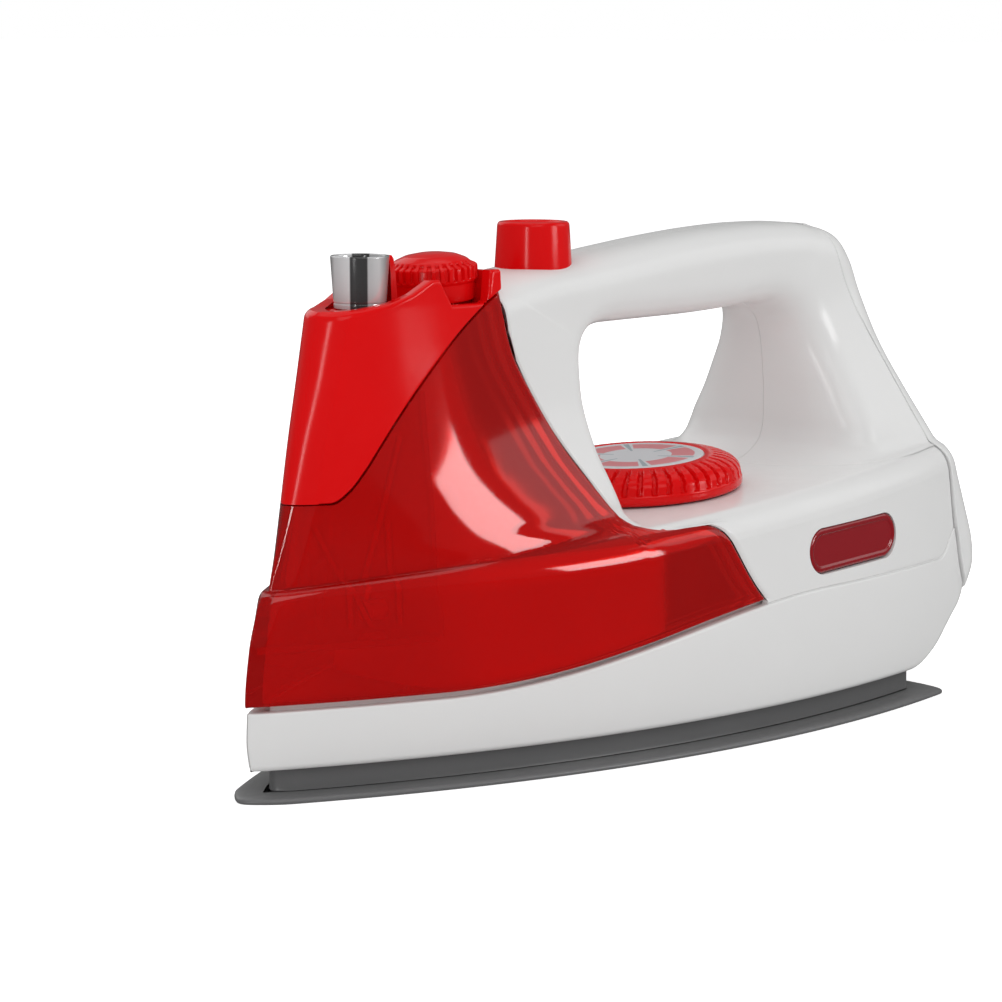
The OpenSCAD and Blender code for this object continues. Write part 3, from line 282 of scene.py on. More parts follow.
def stations(w, columns):
    """Columns of the handle's table as smooth curves over the station number."""
    number = np.arange(len(HANDLE))
    return [course(w, np.stack([number, HANDLE[:, i]], 1)) for i in columns]


OPENING_LINE = np.stack(stations(np.linspace(0, len(HANDLE) - 1, 400), (0, 1)), 1)


def deck_z(k, s):
    """Height of the deck, which rises evenly to the rear."""
    return k.deck_h + DECK_SLOPE * s


def rear_s(z):
    """Distance of the rear line behind the nose at a height."""
    return np.interp(z, REAR_LOW[:, 1], REAR_LOW[:, 0])


def arc_radius(k):
    """Radius of the circle through the arc's tip and its widest place."""
    return ((ARC_REACH * k.sole_l) ** 2 + (k.sole_w / 2) ** 2) / k.sole_w


def ogive(k, s, inset):
    """Half width of the flange less an inset: an arc that is widest at three quarters of the length."""
    r = arc_radius(k)
    return k.sole_w / 2 - inset - (r - np.sqrt(np.maximum(r * r - (ARC_MIDDLE * k.sole_l - s) ** 2, 0)))


def closing(d, r, p=2.0):
    """A rounded end: nothing at the end and one from the radius on, as a superellipse of power p."""
    u = np.clip(d / r, 0, 1)
    return (1 - (1 - u) ** p) ** (1 / p)


def turned_in(d, r):
    """How far a round edge of radius r has drawn in at a distance d from its end."""
    u = np.maximum(r - np.maximum(d, 0), 0)
    return r - np.sqrt(np.maximum(r * r - u * u, 0))


def edged(s, z, w, *edges):
    """Half width w with a round edge along each line: less how far an edge of its radius draws in there."""
    for line, r in edges:
        w = w - turned_in(away(s, z, line), r)
    return w


def smooth_max(a, b, k):
    """The greater of two values, rounded over a width k where they meet."""
    return 0.5 * (a + b + np.sqrt((a - b) ** 2 + k * k))


def seam_z(k, s):
    """Upper edge of the skirt: a smooth rise from the nose that turns up before the rear cover."""
    rise = mix(18.9, 31.8, smooth((s / k.sole_l - 0.208) / 0.535))
    return rise + 6.6 * smooth((s - 203.5) / 10.5) ** 1.3


def low_half(k, s, z, edge):
    """Half width of the lower body: the flange's arc drawn in, leaning a little, with a round upper edge."""
    deck = deck_z(k, s)
    h = (z - BODY_FOOT) / (deck - BODY_FOOT)
    inset = 4.8 + 1.2 * smooth((h - 0.35) / 0.65) + turned_in(deck - z, edge)
    w = ogive(k, s, inset) * closing(s - course(z, LOW_TIP), 3.5) * closing(rear_s(z) - s, 10.5, 3)
    return w - 9 * np.maximum(z - deck, 0)


def tower_half(k, s, z):
    """Half width of the tower: the softer lesser of the flange's arc and a width that goes with height."""
    a = np.maximum(ogive(k, s, course(z, TOWER_INSET)), 0.01)
    b = course(z, TOWER_WIDE)
    return (a ** -5 + b ** -5) ** -0.2 * closing(s - course(z, TOWER_TIP), 4.4)


def tower_end(k, s, z):
    """The tower's half width, which sinks away towards the tank's rear edge."""
    return tower_half(k, s, z) - 26 * smooth((s - 92) / 22) ** 2


def tank_half(k, s, z):
    """Half width of the tank: the greater of lower body and tower, with a crease that softens rearward."""
    low = low_half(k, s, z, mix(2.0, 6.0, smooth((s - 15) / 75)))
    return smooth_max(low, tower_end(k, s, z), mix(0.3, 3.2, smooth((s - 38) / 42)))


def handle_half(s, z, b):
    """Half width of the handle: b, closed at the opening's edge and at the outer line."""
    outer = np.interp(s, [68, 100, 180, 195, 230], [6.5, 9, 9, 9.5, 10])
    inner = np.interp(s, [60, 98, 112, 160, 185], [6.5, 6.5, 9, 9, 12])
    return b * closing(away(s, z, OPENING_LINE) / inner, 1, 3) * closing(away(s, z, OUTER_LINE) / outer, 1, 3)


def foot(k, s, z, b):
    """How far a foot of half width b flares where it meets the deck: a quarter circle, drawn in where the
    deck's flat part is narrower."""
    room = np.clip((ogive(k, s, 6.2 + k.edge) - b) / FOOT_R, 0.02, 1)
    return turned_in(z - deck_z(k, s), FOOT_R) * room


def cover_half(k, s, z):
    """Half width of the rear cover: the handle's rear over the lower body."""
    b = course(z, REAR_WIDE)
    return smooth_max(handle_half(s, z, b + foot(k, s, z, b)), low_half(k, s, z, k.edge), 3)


# ---------------- meshes


def grid_faces(rows, cols, wrap):
    """The four corners of every face of a grid, whose last column may join the first."""
    j, i = np.meshgrid(np.arange(rows - 1), np.arange(cols if wrap else cols - 1), indexing="ij")
    n = (i + 1) % cols
    return np.stack([j * cols + i, j * cols + n, (j + 1) * cols + n, (j + 1) * cols + i], -1).reshape(-1, 4)


def piece(name, grids, centre, slot, wrap=()):
    """One mesh from grids of places in millimetres behind the nose. Each grid is turned so that its faces
    look away from the centre, which may be one point or one for each grid."""
    verts, faces, base = [], [], 0
    centres = np.broadcast_to(np.asarray(centre, float), (len(grids), 3))
    for n, g in enumerate(grids):
        q = grid_faces(*g.shape[:2], n in wrap)
        v = g.reshape(-1, 3)
        a, b, c, d = (v[q[:, i]] for i in range(4))
        normal = np.cross(c - a, d - b)
        if ((a + b + c + d) / 4 - centres[n]).ravel() @ normal.ravel() < 0:
            q = q[:, ::-1]
        verts.append(v)
        faces.append(q + base)
        base += len(v)
    v = (np.vstack(verts) + [NOSE_X, 0, 0]) * 0.001
    key = np.round(v / 1e-8).astype(np.int64)
    _, first, back = np.unique(key, axis=0, return_index=True, return_inverse=True)
    me = bpy.data.meshes.new(name)
    fill_mesh(me, v[first], back.ravel()[np.vstack(faces)])
    ob = bpy.data.objects.new(name, me)
    bpy.context.scene.collection.objects.link(ob)
    me.materials.append(finishes()[slot])
    return ob


def fill_mesh(me, v, q):
    """Puts vertices and four-cornered faces into a mesh, with collapsed corners left out."""
    keep = q != np.roll(q, -1, axis=1)
    counts = keep.sum(1)
    good = (counts >= 3) & (q[:, 0] != q[:, 2]) & (q[:, 1] != q[:, 3])
    q, keep, counts = q[good], keep[good], counts[good]
    loops = q[keep]
    me.vertices.add(len(v))
    me.vertices.foreach_set("co", v.astype(np.float32).ravel())
    me.loops.add(len(loops))
    me.loops.foreach_set("vertex_index", loops.astype(np.int32))
    me.polygons.add(len(q))
    start = np.concatenate([[0], np.cumsum(counts)[:-1]])
    me.polygons.foreach_set("loop_start", start.astype(np.int32))
    me.polygons.foreach_set("use_smooth", np.ones(len(q), bool))
    me.update(calc_edges=True)
    me.validate()


def outwards(ob):
    """Turns every face of a closed piece outwards."""
    bm = bmesh.new()
    bm.from_mesh(ob.data)
    bmesh.ops.remove_doubles(bm, verts=bm.verts, dist=1e-6)
    bmesh.ops.recalc_face_normals(bm, faces=bm.faces)
    bm.to_mesh(ob.data)
    bm.free()


def sharpen(ob, degrees):
    """Smooth shading, with edges sharper than an angle kept sharp."""
    ob.data.polygons.foreach_set("use_smooth", np.ones(len(ob.data.polygons), bool))
    ob.data.set_sharp_from_angle(angle=math.radians(degrees))


def finish_piece(ob, slot, body, *nodes):
    """A finished piece rides on its body and stands for its CAD nodes; its slot is not used."""
    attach(ob, body)
    if nodes:
        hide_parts(*nodes)


def made(name, grids, centre, slot, degrees, *nodes, body="iron", wrap=(0,), closed=True):
    """A piece from its grids, with its faces outwards, its sharp edges marked and its ties set."""
    ob = piece(name, grids, centre, slot, wrap)
    if closed:
        outwards(ob)
    sharpen(ob, degrees)
    finish_piece(ob, slot, body, *nodes)


def settle(ob):
    """Works a piece's modifiers into its mesh."""
    graph = bpy.context.evaluated_depsgraph_get()
    me = bpy.data.meshes.new_from_object(ob.evaluated_get(graph), depsgraph=graph)
    ob.modifiers.clear()
    old = ob.data
    ob.data = me
    bpy.data.meshes.remove(old)


def thicken(ob, thickness):
    """Gives an open sheet a wall inside it, in millimetres."""
    m = ob.modifiers.new("wall", "SOLIDIFY")
    m.thickness, m.offset, m.use_rim = thickness * 0.001, -1, True
    m.use_quality_normals = True


def carve(ob, cutter, operation="DIFFERENCE"):
    """Cuts a closed piece with a closed cutter, which is then removed."""
    m = ob.modifiers.new("cut", "BOOLEAN")
    m.operation, m.object, m.solver = operation, cutter, "EXACT"
    settle(ob)
    me = cutter.data
    bpy.data.objects.remove(cutter)
    bpy.data.meshes.remove(me)


def capped(rings):
    """A grid of rings with its two ends closed to their middles."""
    g = np.asarray(rings, float)
    first, last = (np.repeat(g[i].mean(0)[None, None], g.shape[1], 1) for i in (0, -1))
    return np.concatenate([first, g, last])


def solid(name, rings, slot="dark_inner"):
    """A closed solid from rings of places."""
    g = capped(rings)
    return piece(name, [g], g.reshape(-1, 3).mean(0), slot, wrap=(0,))


def level(s, w, z, t):
    """A sheet across the body: the half widths w times the fractions t at the distances s and heights z."""
    return np.stack(np.broadcast_arrays(s, np.asarray(t)[:, None] * w, z), -1)


def slab(g, shift):
    """A sheet, and its copy moved by a shift, in one grid."""
    return np.concatenate([g, g[::-1] + shift])


def halves(S, Z, W):
    """Near and far side of a side-view sheet as one grid, joined along its first column."""
    near = np.stack([S, -W, Z], -1)[:, ::-1]
    far = np.stack([S, W, Z], -1)[:, 1:]
    return np.concatenate([near, far], 1)


def drawn_in(S, Z, W, wall, front, rear=0.0, least=0.0):
    """The inner wall of a sheet: half width less the wall, its first and last columns moved inwards."""
    lap = np.clip((S - S[:, :1]) / np.maximum(S[:, -1:] - S[:, :1], 1e-6), 0, 1)
    return S + front * (1 - lap) ** 3 - rear * lap ** 3, Z, np.maximum(W - wall, least)


def walled(outer, inner, both=False):
    """A closed wall as one ring of columns in each row: the outer face one way and the inner face back, over
    one side or both. The first and last rows are closed by a row midway between the two faces."""
    o, i = (halves(*f) if both else np.stack([f[0], f[2], f[1]], -1) for f in (outer, inner))
    g = np.concatenate([o, i[:, ::-1]], 1)
    m = (o + i) / 2
    m = np.concatenate([m, m[:, ::-1]], 1)
    return np.concatenate([m[:1], g, m[-1:]])


def hood(S, Z, W, wall, front):
    """A wall over both sides that meets in its first column, where the half width is nothing."""
    W = np.maximum(W, 0)
    W[:, 0] = 0
    return walled((S, Z, W), drawn_in(S, Z, W, wall, front), True)


def turned(profile, centre, pitch=0.0, steps=120):
    """A profile of radius and height turned round an upright axis, then tilted by a pitch about its foot."""
    p = np.asarray(profile, float)
    a = np.linspace(0, 2 * math.pi, steps, endpoint=False)
    g = np.stack([p[:, :1] * np.cos(a), p[:, :1] * np.sin(a), np.repeat(p[:, 1:], steps, 1)], -1)
    return tilt(g, centre, pitch)


def tilt(g, centre, pitch):
    """Places turned about the side axis by a pitch and moved to a centre."""
    c, s = math.cos(pitch), math.sin(pitch)
    x, z = g[..., 0] * c - g[..., 2] * s, g[..., 0] * s + g[..., 2] * c
    return np.stack([x, g[..., 1], z], -1) + np.asarray(centre, float)


def rounded_path(points, r, n=5):
    """A profile with its inner corners rounded: each corner gives way to an arc-like curve of n points."""
    p = np.asarray(points, float)
    out = [p[:1]]
    for a, b, c in zip(p[:-2], p[1:-1], p[2:]):
        la, lc = np.hypot(*(a - b)), np.hypot(*(c - b))
        d = min(r, la * 0.45, lc * 0.45)
        s, e = b + (a - b) / la * d, b + (c - b) / lc * d
        t = np.linspace(0, 1, n)[:, None]
        out.append((1 - t) ** 2 * s + 2 * t * (1 - t) * b + t * t * e)
    out.append(p[-1:])
    return np.vstack(out)


def even_ends(n, p=2.6):
    """Places from nothing to one that crowd together at both ends."""
    x = np.linspace(0, 1, n)
    return x ** p / (x ** p + (1 - x) ** p)


# ---------------- materials


def blank(owner):
    """The emptied node tree of a material or of the world."""
    owner.use_nodes = True
    owner.node_tree.nodes.clear()
    return owner.node_tree


def node(t, kind, values=None, out=0, **settings):
    """A node with its settings and with values or other nodes' outputs on its sockets. Gives one output."""
    n = t.nodes.new("ShaderNode" + kind)
    for key, v in settings.items():
        setattr(n, key, v)
    for key, v in (values or {}).items():
        if isinstance(v, bpy.types.NodeSocket):
            t.links.new(v, n.inputs[key])
        else:
            n.inputs[key].default_value = v
    return n.outputs[out] if n.outputs else n


def grain(t, scale, detail):
    """Noise on the object's own coordinates, per metre."""
    place = node(t, "TexCoord", out="Object")
    return node(t, "TexNoise", {"Vector": place, "Scale": scale, "Detail": detail}, "Fac")


def ranged(t, value, low, high):
    """Nothing to one spread between two values."""
    return node(t, "MapRange", {"Value": value, "To Min": low, "To Max": high}, "Result")


def tinted(t, value, a, b):
    """A colour that goes from a, which may be a socket, to b."""
    a = a if isinstance(a, bpy.types.NodeSocket) else (*a, 1)
    return node(t, "Mix", {"A": a, "B": (*b, 1), "Factor": value}, "Result", data_type="RGBA")


def cloudy(t, colour, scale, detail, less, more):
    """A colour that varies with the grain between two multiples of itself, held within one."""
    c = np.array(tuple(colour))
    return tinted(t, grain(t, scale, detail), np.clip(c * less, 0, 1), np.clip(c * more, 0, 1))


def raised(t, scale, strength):
    """A very fine skin: grain as bumps of a fifth of a millimetre at most."""
    bump = {"Height": grain(t, scale, 2), "Strength": strength, "Distance": 0.0002}
    return node(t, "Bump", bump, "Normal")


def blend(t, share, a, b):
    """A shader that is b by its share and a by the rest."""
    return node(t, "MixShader", {"Fac": share, 1: a, 2: b})


def material(name, shader):
    """A material whose surface is what a function of its node tree gives."""
    m = bpy.data.materials.new(name)
    t = blank(m)
    node(t, "OutputMaterial", {"Surface": shader(t)})
    return m


def moulded(name, colour, rough, vary, texture, metal=0.0, shine=0.5):
    """A moulded or metal finish: faint cloudy colour, uneven gloss and a very fine skin."""
    return material(name, lambda t: node(t, "BsdfPrincipled", {
        "Metallic": metal, "Specular IOR Level": shine,
        "Base Color": cloudy(t, colour, 45, 2, 1 - vary, 1 + vary),
        "Roughness": ranged(t, grain(t, 260, 4), rough * 0.8, rough * 1.25),
        "Normal": raised(t, 2600, texture)}))


def see_through(name, tint, body, share, rough):
    """Clear tinted plastic: mostly a tinted window, partly the plastic's own colour, under a glossy skin that
    shows by the law of Fresnel."""
    def shader(t):
        """The window and the own colour blended by the share, with the skin over them."""
        window = node(t, "BsdfTransparent", {"Color": cloudy(t, tint, 60, 3, 0.98, 1.02)})
        own = node(t, "BsdfPrincipled", {
            "Specular IOR Level": 0.35, "Base Color": cloudy(t, body, 60, 3, 0.94, 1.05),
            "Roughness": ranged(t, grain(t, 300, 3), rough * 0.7, rough * 1.4),
            "Normal": raised(t, 2200, 0.04)})
        skin = node(t, "BsdfGlossy", {"Roughness": rough})
        return blend(t, node(t, "Fresnel", {"IOR": 1.45}), blend(t, share, window, own), skin)
    return material(name, shader)


# Painted reflections: places across the nozzle and greys of the light and dark bands painted into the plate's
# colour, standing in for the mirrored studio
PAINTED_REFLECTION_BANDS = (
    (0.0, 0.35), (0.06, 0.75), (0.33, 0.9), (0.355, 0.07), (0.645, 0.06), (0.67, 0.62), (0.86, 0.75),
    (1.0, 0.3))


def plated(t):
    """Plate with painted reflections: upright dark and light bands painted into its colour, standing in for
    the studio that bare metal mirrors, by the place across the nozzle on the object's own coordinates."""
    lo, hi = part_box("nozzle_sleeve")
    mid = (lo + hi) / 2
    across = node(t, "Mapping", {"Vector": node(t, "TexCoord", out="Object"), "Location": (mid[0], mid[1], 0),
                                 "Rotation": (0, 0, VIEW_TURN), "Scale": (0.012,) * 3}, vector_type="TEXTURE")
    place = node(t, "Math", {0: node(t, "SeparateXYZ", {0: across}, "X"), 1: 0.5}, operation="ADD")
    # painted reflection bands: a ramp of greys across the nozzle
    shade = node(t, "ValToRGB", {"Fac": place}, "Color")
    e = shade.node.color_ramp.elements
    for i, (at, v) in enumerate((PAINTED_REFLECTION_BANDS[0], PAINTED_REFLECTION_BANDS[-1])):
        e[i].position, e[i].color = at, (v, v, v, 1)
    for at, v in PAINTED_REFLECTION_BANDS[1:-1]:
        e.new(at).color = (v, v, v * 1.01, 1)
    return node(t, "BsdfPrincipled", {"Metallic": 0.3, "Base Color": shade,
                                      "Roughness": ranged(t, grain(t, 300, 3), 0.12, 0.2)})


def dial_face(t):
    """The pale dial face: a ring of plain tinted fields with grey bars between them, from the angle and the
    distance about the dial's axis."""
    lo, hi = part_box("dial_disc")
    shifted = node(t, "Mapping", {"Vector": node(t, "TexCoord", out="Object"),
                                  "Location": (-(lo.x + hi.x) / 2, 0, 0)})
    places = node(t, "SeparateXYZ", {0: shifted}).node.outputs
    x, y = places["X"], places["Y"]

    def calc(operation, *values):
        """One step of arithmetic."""
        return node(t, "Math", dict(enumerate(values)), operation=operation)

    def near(value, middle, reach):
        """One where a value is less than a reach away from a middle."""
        return calc("LESS_THAN", calc("ABSOLUTE", calc("SUBTRACT", value, middle)), reach)

    r = calc("SQRT", calc("ADD", calc("MULTIPLY", x, x), calc("MULTIPLY", y, y)))
    turn = calc("DIVIDE", calc("ARCTAN2", y, x), 2 * math.pi / 6)
    part = calc("ABSOLUTE", calc("SUBTRACT", calc("FRACT", calc("ADD", turn, 12.2)), 0.5))
    field = calc("MULTIPLY", calc("LESS_THAN", part, 0.40), near(r, 0.0112, 0.0027))
    bar = calc("MULTIPLY", calc("GREATER_THAN", part, 0.455), near(r, 0.0100, 0.0045))
    base = tinted(t, grain(t, 60, 2), (0.66, 0.68, 0.70), (0.72, 0.73, 0.75))
    shade = tinted(t, bar, tinted(t, field, base, (0.72, 0.25, 0.27)), (0.36, 0.43, 0.46))
    return node(t, "BsdfPrincipled", {"Base Color": shade,
                                      "Roughness": ranged(t, grain(t, 300, 3), 0.3, 0.42)})


FINISHES = {}


def finishes():
    """All finishes by the name of their slot, made once."""
    if FINISHES:
        return FINISHES
    c = bpy.context.scene.iron_colours
    FINISHES.update(
        white_shell=moulded("glossy white shell", c.white, 0.22, 0.012, 0.03, shine=0.28),
        gloss_red=moulded("glossy red", c.opaque_red, 0.16, 0.05, 0.02, shine=0.2),
        clear_red=see_through("clear red tank", c.clear_red, (1.0, 0.004, 0.003), 0.33, 0.05),
        lamp_red=see_through("deep red lens", (0.6, 0.03, 0.04), c.lamp_red, 0.7, 0.12),
        sole_grey=moulded("satin sole grey", c.sole_grey, 0.36, 0.06, 0.1),
        # the plate's colour carries painted reflection bands
        plated=material("bright plated", plated),
        dark_inner=moulded("dark nylon", (0.02, 0.02, 0.022), 0.45, 0.1, 0.1),
        white_inner=moulded("plain inner white", (0.7, 0.7, 0.68), 0.45, 0.03, 0.08),
        seal_rubber=moulded("black seal rubber", (0.015, 0.015, 0.016), 0.7, 0.15, 0.2),
        steel=moulded("plain steel", (0.55, 0.55, 0.56), 0.3, 0.05, 0.05, 1.0),
        tube_clear=moulded("milky tube", (0.72, 0.7, 0.68), 0.35, 0.04, 0.04),
        board_green=moulded("green board", (0.02, 0.16, 0.06), 0.4, 0.15, 0.05),
        cell_steel=moulded("cell wrap", (0.07, 0.07, 0.08), 0.35, 0.1, 0.03),
        pale_disc=material("dial face", dial_face),
    )
    return FINISHES


# ---------------- sole and skirt


class IRON_OT_sole(bpy.types.Operator):
    """The grey sole: the flange's outline carried up a profile with a bevelled rim and an upright wall"""

    bl_idname = "iron.sole"
    bl_label = "Sole"

    def execute(self, context):
        k = sizes()
        x = even_ends(150, 2.0)

        def ring(inset, tip, rear, r_front, r_rear, z):
            """The flange's arc less an inset, closed at a tip and a rear, all round at one height."""
            s = mix(tip, rear, x)
            w = ogive(k, s, inset) * closing(s - tip, r_front) * closing(rear - s, r_rear, 2.6)
            w[0] = w[-1] = 0
            side = np.stack([s, w, np.full_like(s, z)], 1)
            return np.vstack([side * [1, -1, 1], side[-2:0:-1]])

        flange = [ring(i, i, k.sole_l - i, 7, 6, z) for i, z in (
            (12, 0.02), (3, 0.02), (0.6, 0), (0.2, 0.1), (0.02, 0.32), (0, 0.6), (0.05, 0.85), (0.25, 1.05),
            (0.7, 1.2), (2.6, 1.32), (6.8, 1.45))]
        wall = [ring(7.5 + i, 9.5 + i, k.sole_l - 8 - i, 3.5, 3, z) for i, z in (
            (0.0, 1.46), (0.05, 1.6), (0.08, 2.2), (0.1, 4), (0.1, 6.3), (1.6, 6.3), (1.62, 1.8))]
        s = mix(12, k.sole_l - 12, x)
        ends = closing(s - 12, 7) * closing(k.sole_l - 12 - s, 6, 2.6)
        under, top = (level(s, ogive(k, s, inset) * ends, z, np.linspace(-1, 1, 9))
                      for inset, z in ((12, 0.02), (9, 1.5)))
        made("sole", [np.array(flange), np.array(wall), under, top],
             [(110, 0, 0.7), (110, 0, 4), (110, 0, 9), (110, 0, -9)], "sole_grey", 50, "soleplate",
             wrap=(0, 1), closed=False)
        return {"FINISHED"}


def skirt_top(k, s):
    """Upper edge of the skirt, which drops behind the rear cover's lower corner."""
    drop = on_line(s, SEAM_LINE - k.gap)
    return np.where(s < 213.6, seam_z(k, s), np.minimum(drop, seam_z(k, s)))


class IRON_OT_skirt(bpy.types.Operator):
    """The two halves of the skirt: the lower body's side between the sole and the seam, a little bulged,
    with round edges and a fine parting line"""

    bl_idname = "iron.skirt"
    bl_label = "Skirt"

    def execute(self, context):
        k = sizes()
        x = np.unique(np.concatenate([np.linspace(0, 1, 60) ** 2.2 * 0.5,
                                      1 - np.linspace(0, 1, 90) ** 1.9 * 0.5]))
        v = even_ends(44, 2.0)[:, None]
        S = np.repeat((x * 220)[None], len(v), 0)
        for _ in range(40):
            Z = mix(BODY_FOOT, skirt_top(k, S), v)
            S = mix(S, mix(course(Z, LOW_TIP), rear_s(Z), x[None]), 0.35)
        top = traced(0, 229, 500, lambda s: skirt_top(k, s))
        bottom = traced(0, 229, 500, lambda s: BODY_FOOT)
        h = np.clip((Z - BODY_FOOT) / np.maximum(skirt_top(k, S) - BODY_FOOT, 1), 0, 1)
        W = low_half(k, S, Z, k.edge) + 0.45 * (1 - (2 * h - 1) ** 2) * closing(S - course(Z, LOW_TIP), 6)
        W = np.maximum(edged(S, Z, W, (top, 0.5), (bottom, 1.3)), 0) + PARTING
        W[:, 0] = W[:, -1] = PARTING
        shell = walled((S, Z, W), drawn_in(S, Z, W, k.wall, 2.2, 1.9, PARTING))
        # the lip inside the tank's lower edge
        S = mix(8, 205, x)[None].repeat(8, 0)
        Z = seam_z(k, S) + np.linspace(-5, 1.3, 8)[:, None]
        W = np.maximum(low_half(k, S, Z, k.edge) - 2.6, PARTING) * closing(S - 6, 5)
        lip = walled((S, Z, W), drawn_in(S, Z, W, 1.2, 1.2, 0, PARTING))
        # the plate over the sole
        s = mix(3.4, 197.6, x)
        w = np.maximum(low_half(k, s, np.full_like(s, BODY_FOOT + 0.05), k.edge) - 1.4, 0)
        plate = slab(level(s, w, BODY_FOOT + 0.2, [0.1, 1.0]), [0, 0, 1.2])
        for side, end in SIDES:
            name = "skirt_" + end
            made(name, [g * [1, side, 1] for g in (shell, lip, plate)], (110, 0, 16), "white_shell", 50,
                 name, wrap=(0, 1))
        return {"FINISHED"}


# ---------------- housing, cover and door


def handle_sheet():
    """The handle's near half: stations carried from the front foot over the grip to the rear foot. Gives
    places, half widths, station numbers and the fraction across each station."""
    n = len(HANDLE) - 1
    w = np.concatenate([np.linspace(0, 1, 8)[:-1], np.linspace(1, n - 1, 180), np.linspace(n - 1, n, 8)[1:]])
    si, zi, so, zo, b = (c[:, None] for c in stations(w, range(5)))
    crest = smooth((w - 7.6) / 0.4)[:, None] * (w < CREST[1])[:, None]
    zo = mix(zo, on_line(so, OUTER_LINE), crest)
    t = even_ends(72, 2.4)[None]
    return mix(si, so, t), mix(zi, zo, t), b, w, t


def housing_strip(k):
    """The housing's near half below the handle: up its wall, round the deck's edge and over to the middle."""
    cols = np.linspace(0, 1, 110)[None]
    wall = even_ends(24, 1.6)[:, None]
    arc = np.linspace(0, 1, 16)[1:, None] * math.pi / 2
    flat = np.linspace(0, 1, 14)[1:, None]
    wing = EDGE_LINE[EDGE_LINE[:, 0] > 112][::-1]

    def front(z):
        """Distance of the tank's rear edge behind the nose at a height, with a gap."""
        return np.interp(z, wing[:, 1], wing[:, 0]) + k.gap

    def rear(z):
        """Distance of the rear cover's seam behind the nose at a height, with a gap."""
        return np.interp(z, SEAM_LINE[::-1, 1], SEAM_LINE[::-1, 0]) - k.gap

    Sw, Sa = (np.repeat(mix(120.0, 210.0, cols), len(rows), 0) for rows in (wall, arc))
    for _ in range(12):
        Zw = mix(seam_z(k, Sw) + 0.08, deck_z(k, Sw) - k.edge, wall)
        Sw = mix(front(Zw), rear(Zw), cols)
    Ww = low_half(k, Sw, Zw, k.edge)
    under = smooth((np.degrees(arc) - 50) / 10)
    for _ in range(12):
        Za = deck_z(k, Sa) - k.edge * (1 - np.sin(arc))
        Sa = mix(mix(front(Za), 93.0, under), rear(Za), cols)
    Wa = ogive(k, Sa, 6.0 + k.edge * (1 - np.cos(arc))) * closing(rear_s(Za) - Sa, 10.5, 3)
    Sd = np.repeat(Sa[-1:], len(flat), 0)
    Zd = deck_z(k, Sd)
    Wd = mix(Wa[-1:], 0.08, flat)
    return np.vstack([Sw, Sa, Sd]), np.vstack([Zw, Za, Zd]), np.vstack([Ww, Wa, Wd])


def lamp_frame(k):
    """Middle and turn of the far lamp window's plane, which touches the lower body's arc."""
    turn = -math.asin((LAMP_S - ARC_MIDDLE * k.sole_l) / arc_radius(k))
    return np.array([LAMP_S, float(ogive(k, LAMP_S, 6.0)), LAMP_Z]), turn


def window_ring(k, side, grow, out):
    """A stadium outline, grown by a margin and tilted with the deck, at a distance outside the lamp window's
    plane on one side."""
    a = np.linspace(0, 2 * math.pi, 72, endpoint=False)
    r = LAMP_HIGH / 2 + grow
    x, y = np.sign(np.cos(a)) * (LAMP_LONG - LAMP_HIGH) / 2 + r * np.cos(a), r * np.sin(a)
    c, s = math.cos(LAMP_TILT), math.sin(LAMP_TILT)
    along, up = x * c - y * s, x * s + y * c
    o, turn = lamp_frame(k)
    c, s = math.cos(turn), math.sin(turn)
    return np.stack([o[0] + along * c - out * s, side * (o[1] + along * s + out * c), o[2] + up], -1)


class IRON_OT_housing(bpy.types.Operator):
    """The two halves of the housing: the handle's stations, and the strip below them up the wall, round the
    deck's edge and over the deck"""

    bl_idname = "iron.housing"
    bl_label = "Housing"

    def execute(self, context):
        k = sizes()
        S, Z, b, w, t = handle_sheet()
        W = handle_half(S, Z, b + foot(k, S, Z, b))
        low = low_half(k, S, Z, k.edge)
        W = np.where(S > BLEND_S, smooth_max(W, low, 3 * smooth((S - BLEND_S) / 12)), W)
        edge, seam = EDGE_LINE + [k.gap, 0], SEAM_LINE - [k.gap, 0]
        W = np.maximum(edged(S, Z, W, (edge, 0.7), (seam, 0.35)), 0) + GRIP_PARTING
        W[:, 0] = GRIP_PARTING
        W[(w > CREST[0]) & (w < CREST[1]), -1] = GRIP_PARTING
        ds, dz = S[:, -1:] - S[:, :1], Z[:, -1:] - Z[:, :1]
        pull = k.wall * ((1 - t) ** 4 - t ** 4) / np.hypot(ds, dz)
        grip = walled((S, Z, W), (S + pull * ds, Z + pull * dz, np.maximum(W - k.wall, GRIP_PARTING)))
        S, Z, W = housing_strip(k)
        low = traced(100, 216, 300, lambda s: seam_z(k, s) + 0.2)
        edge = edge[EDGE_LINE[:, 0] > 100]
        W[:-13] = edged(S[:-13], Z[:-13], W[:-13], (seam, 0.35), (edge, 0.5), (low, 0.35))
        strip = np.stack([S, W, Z], -1)
        for side, end in SIDES:
            made("handle_" + end, [grip * [1, side, 1]], (140, 0, 75), "white_shell", 42)
            ob = piece("housing_" + end, [strip * [1, side, 1]], (150, 0, 30), "white_shell")
            thicken(ob, k.wall)
            carve(ob, solid("lamp cut", [window_ring(k, side, 0.35, d) for d in (-6, 6)]))
            sharpen(ob, 42)
            finish_piece(ob, "white_shell", "iron", "housing_" + end)
        return {"FINISHED"}


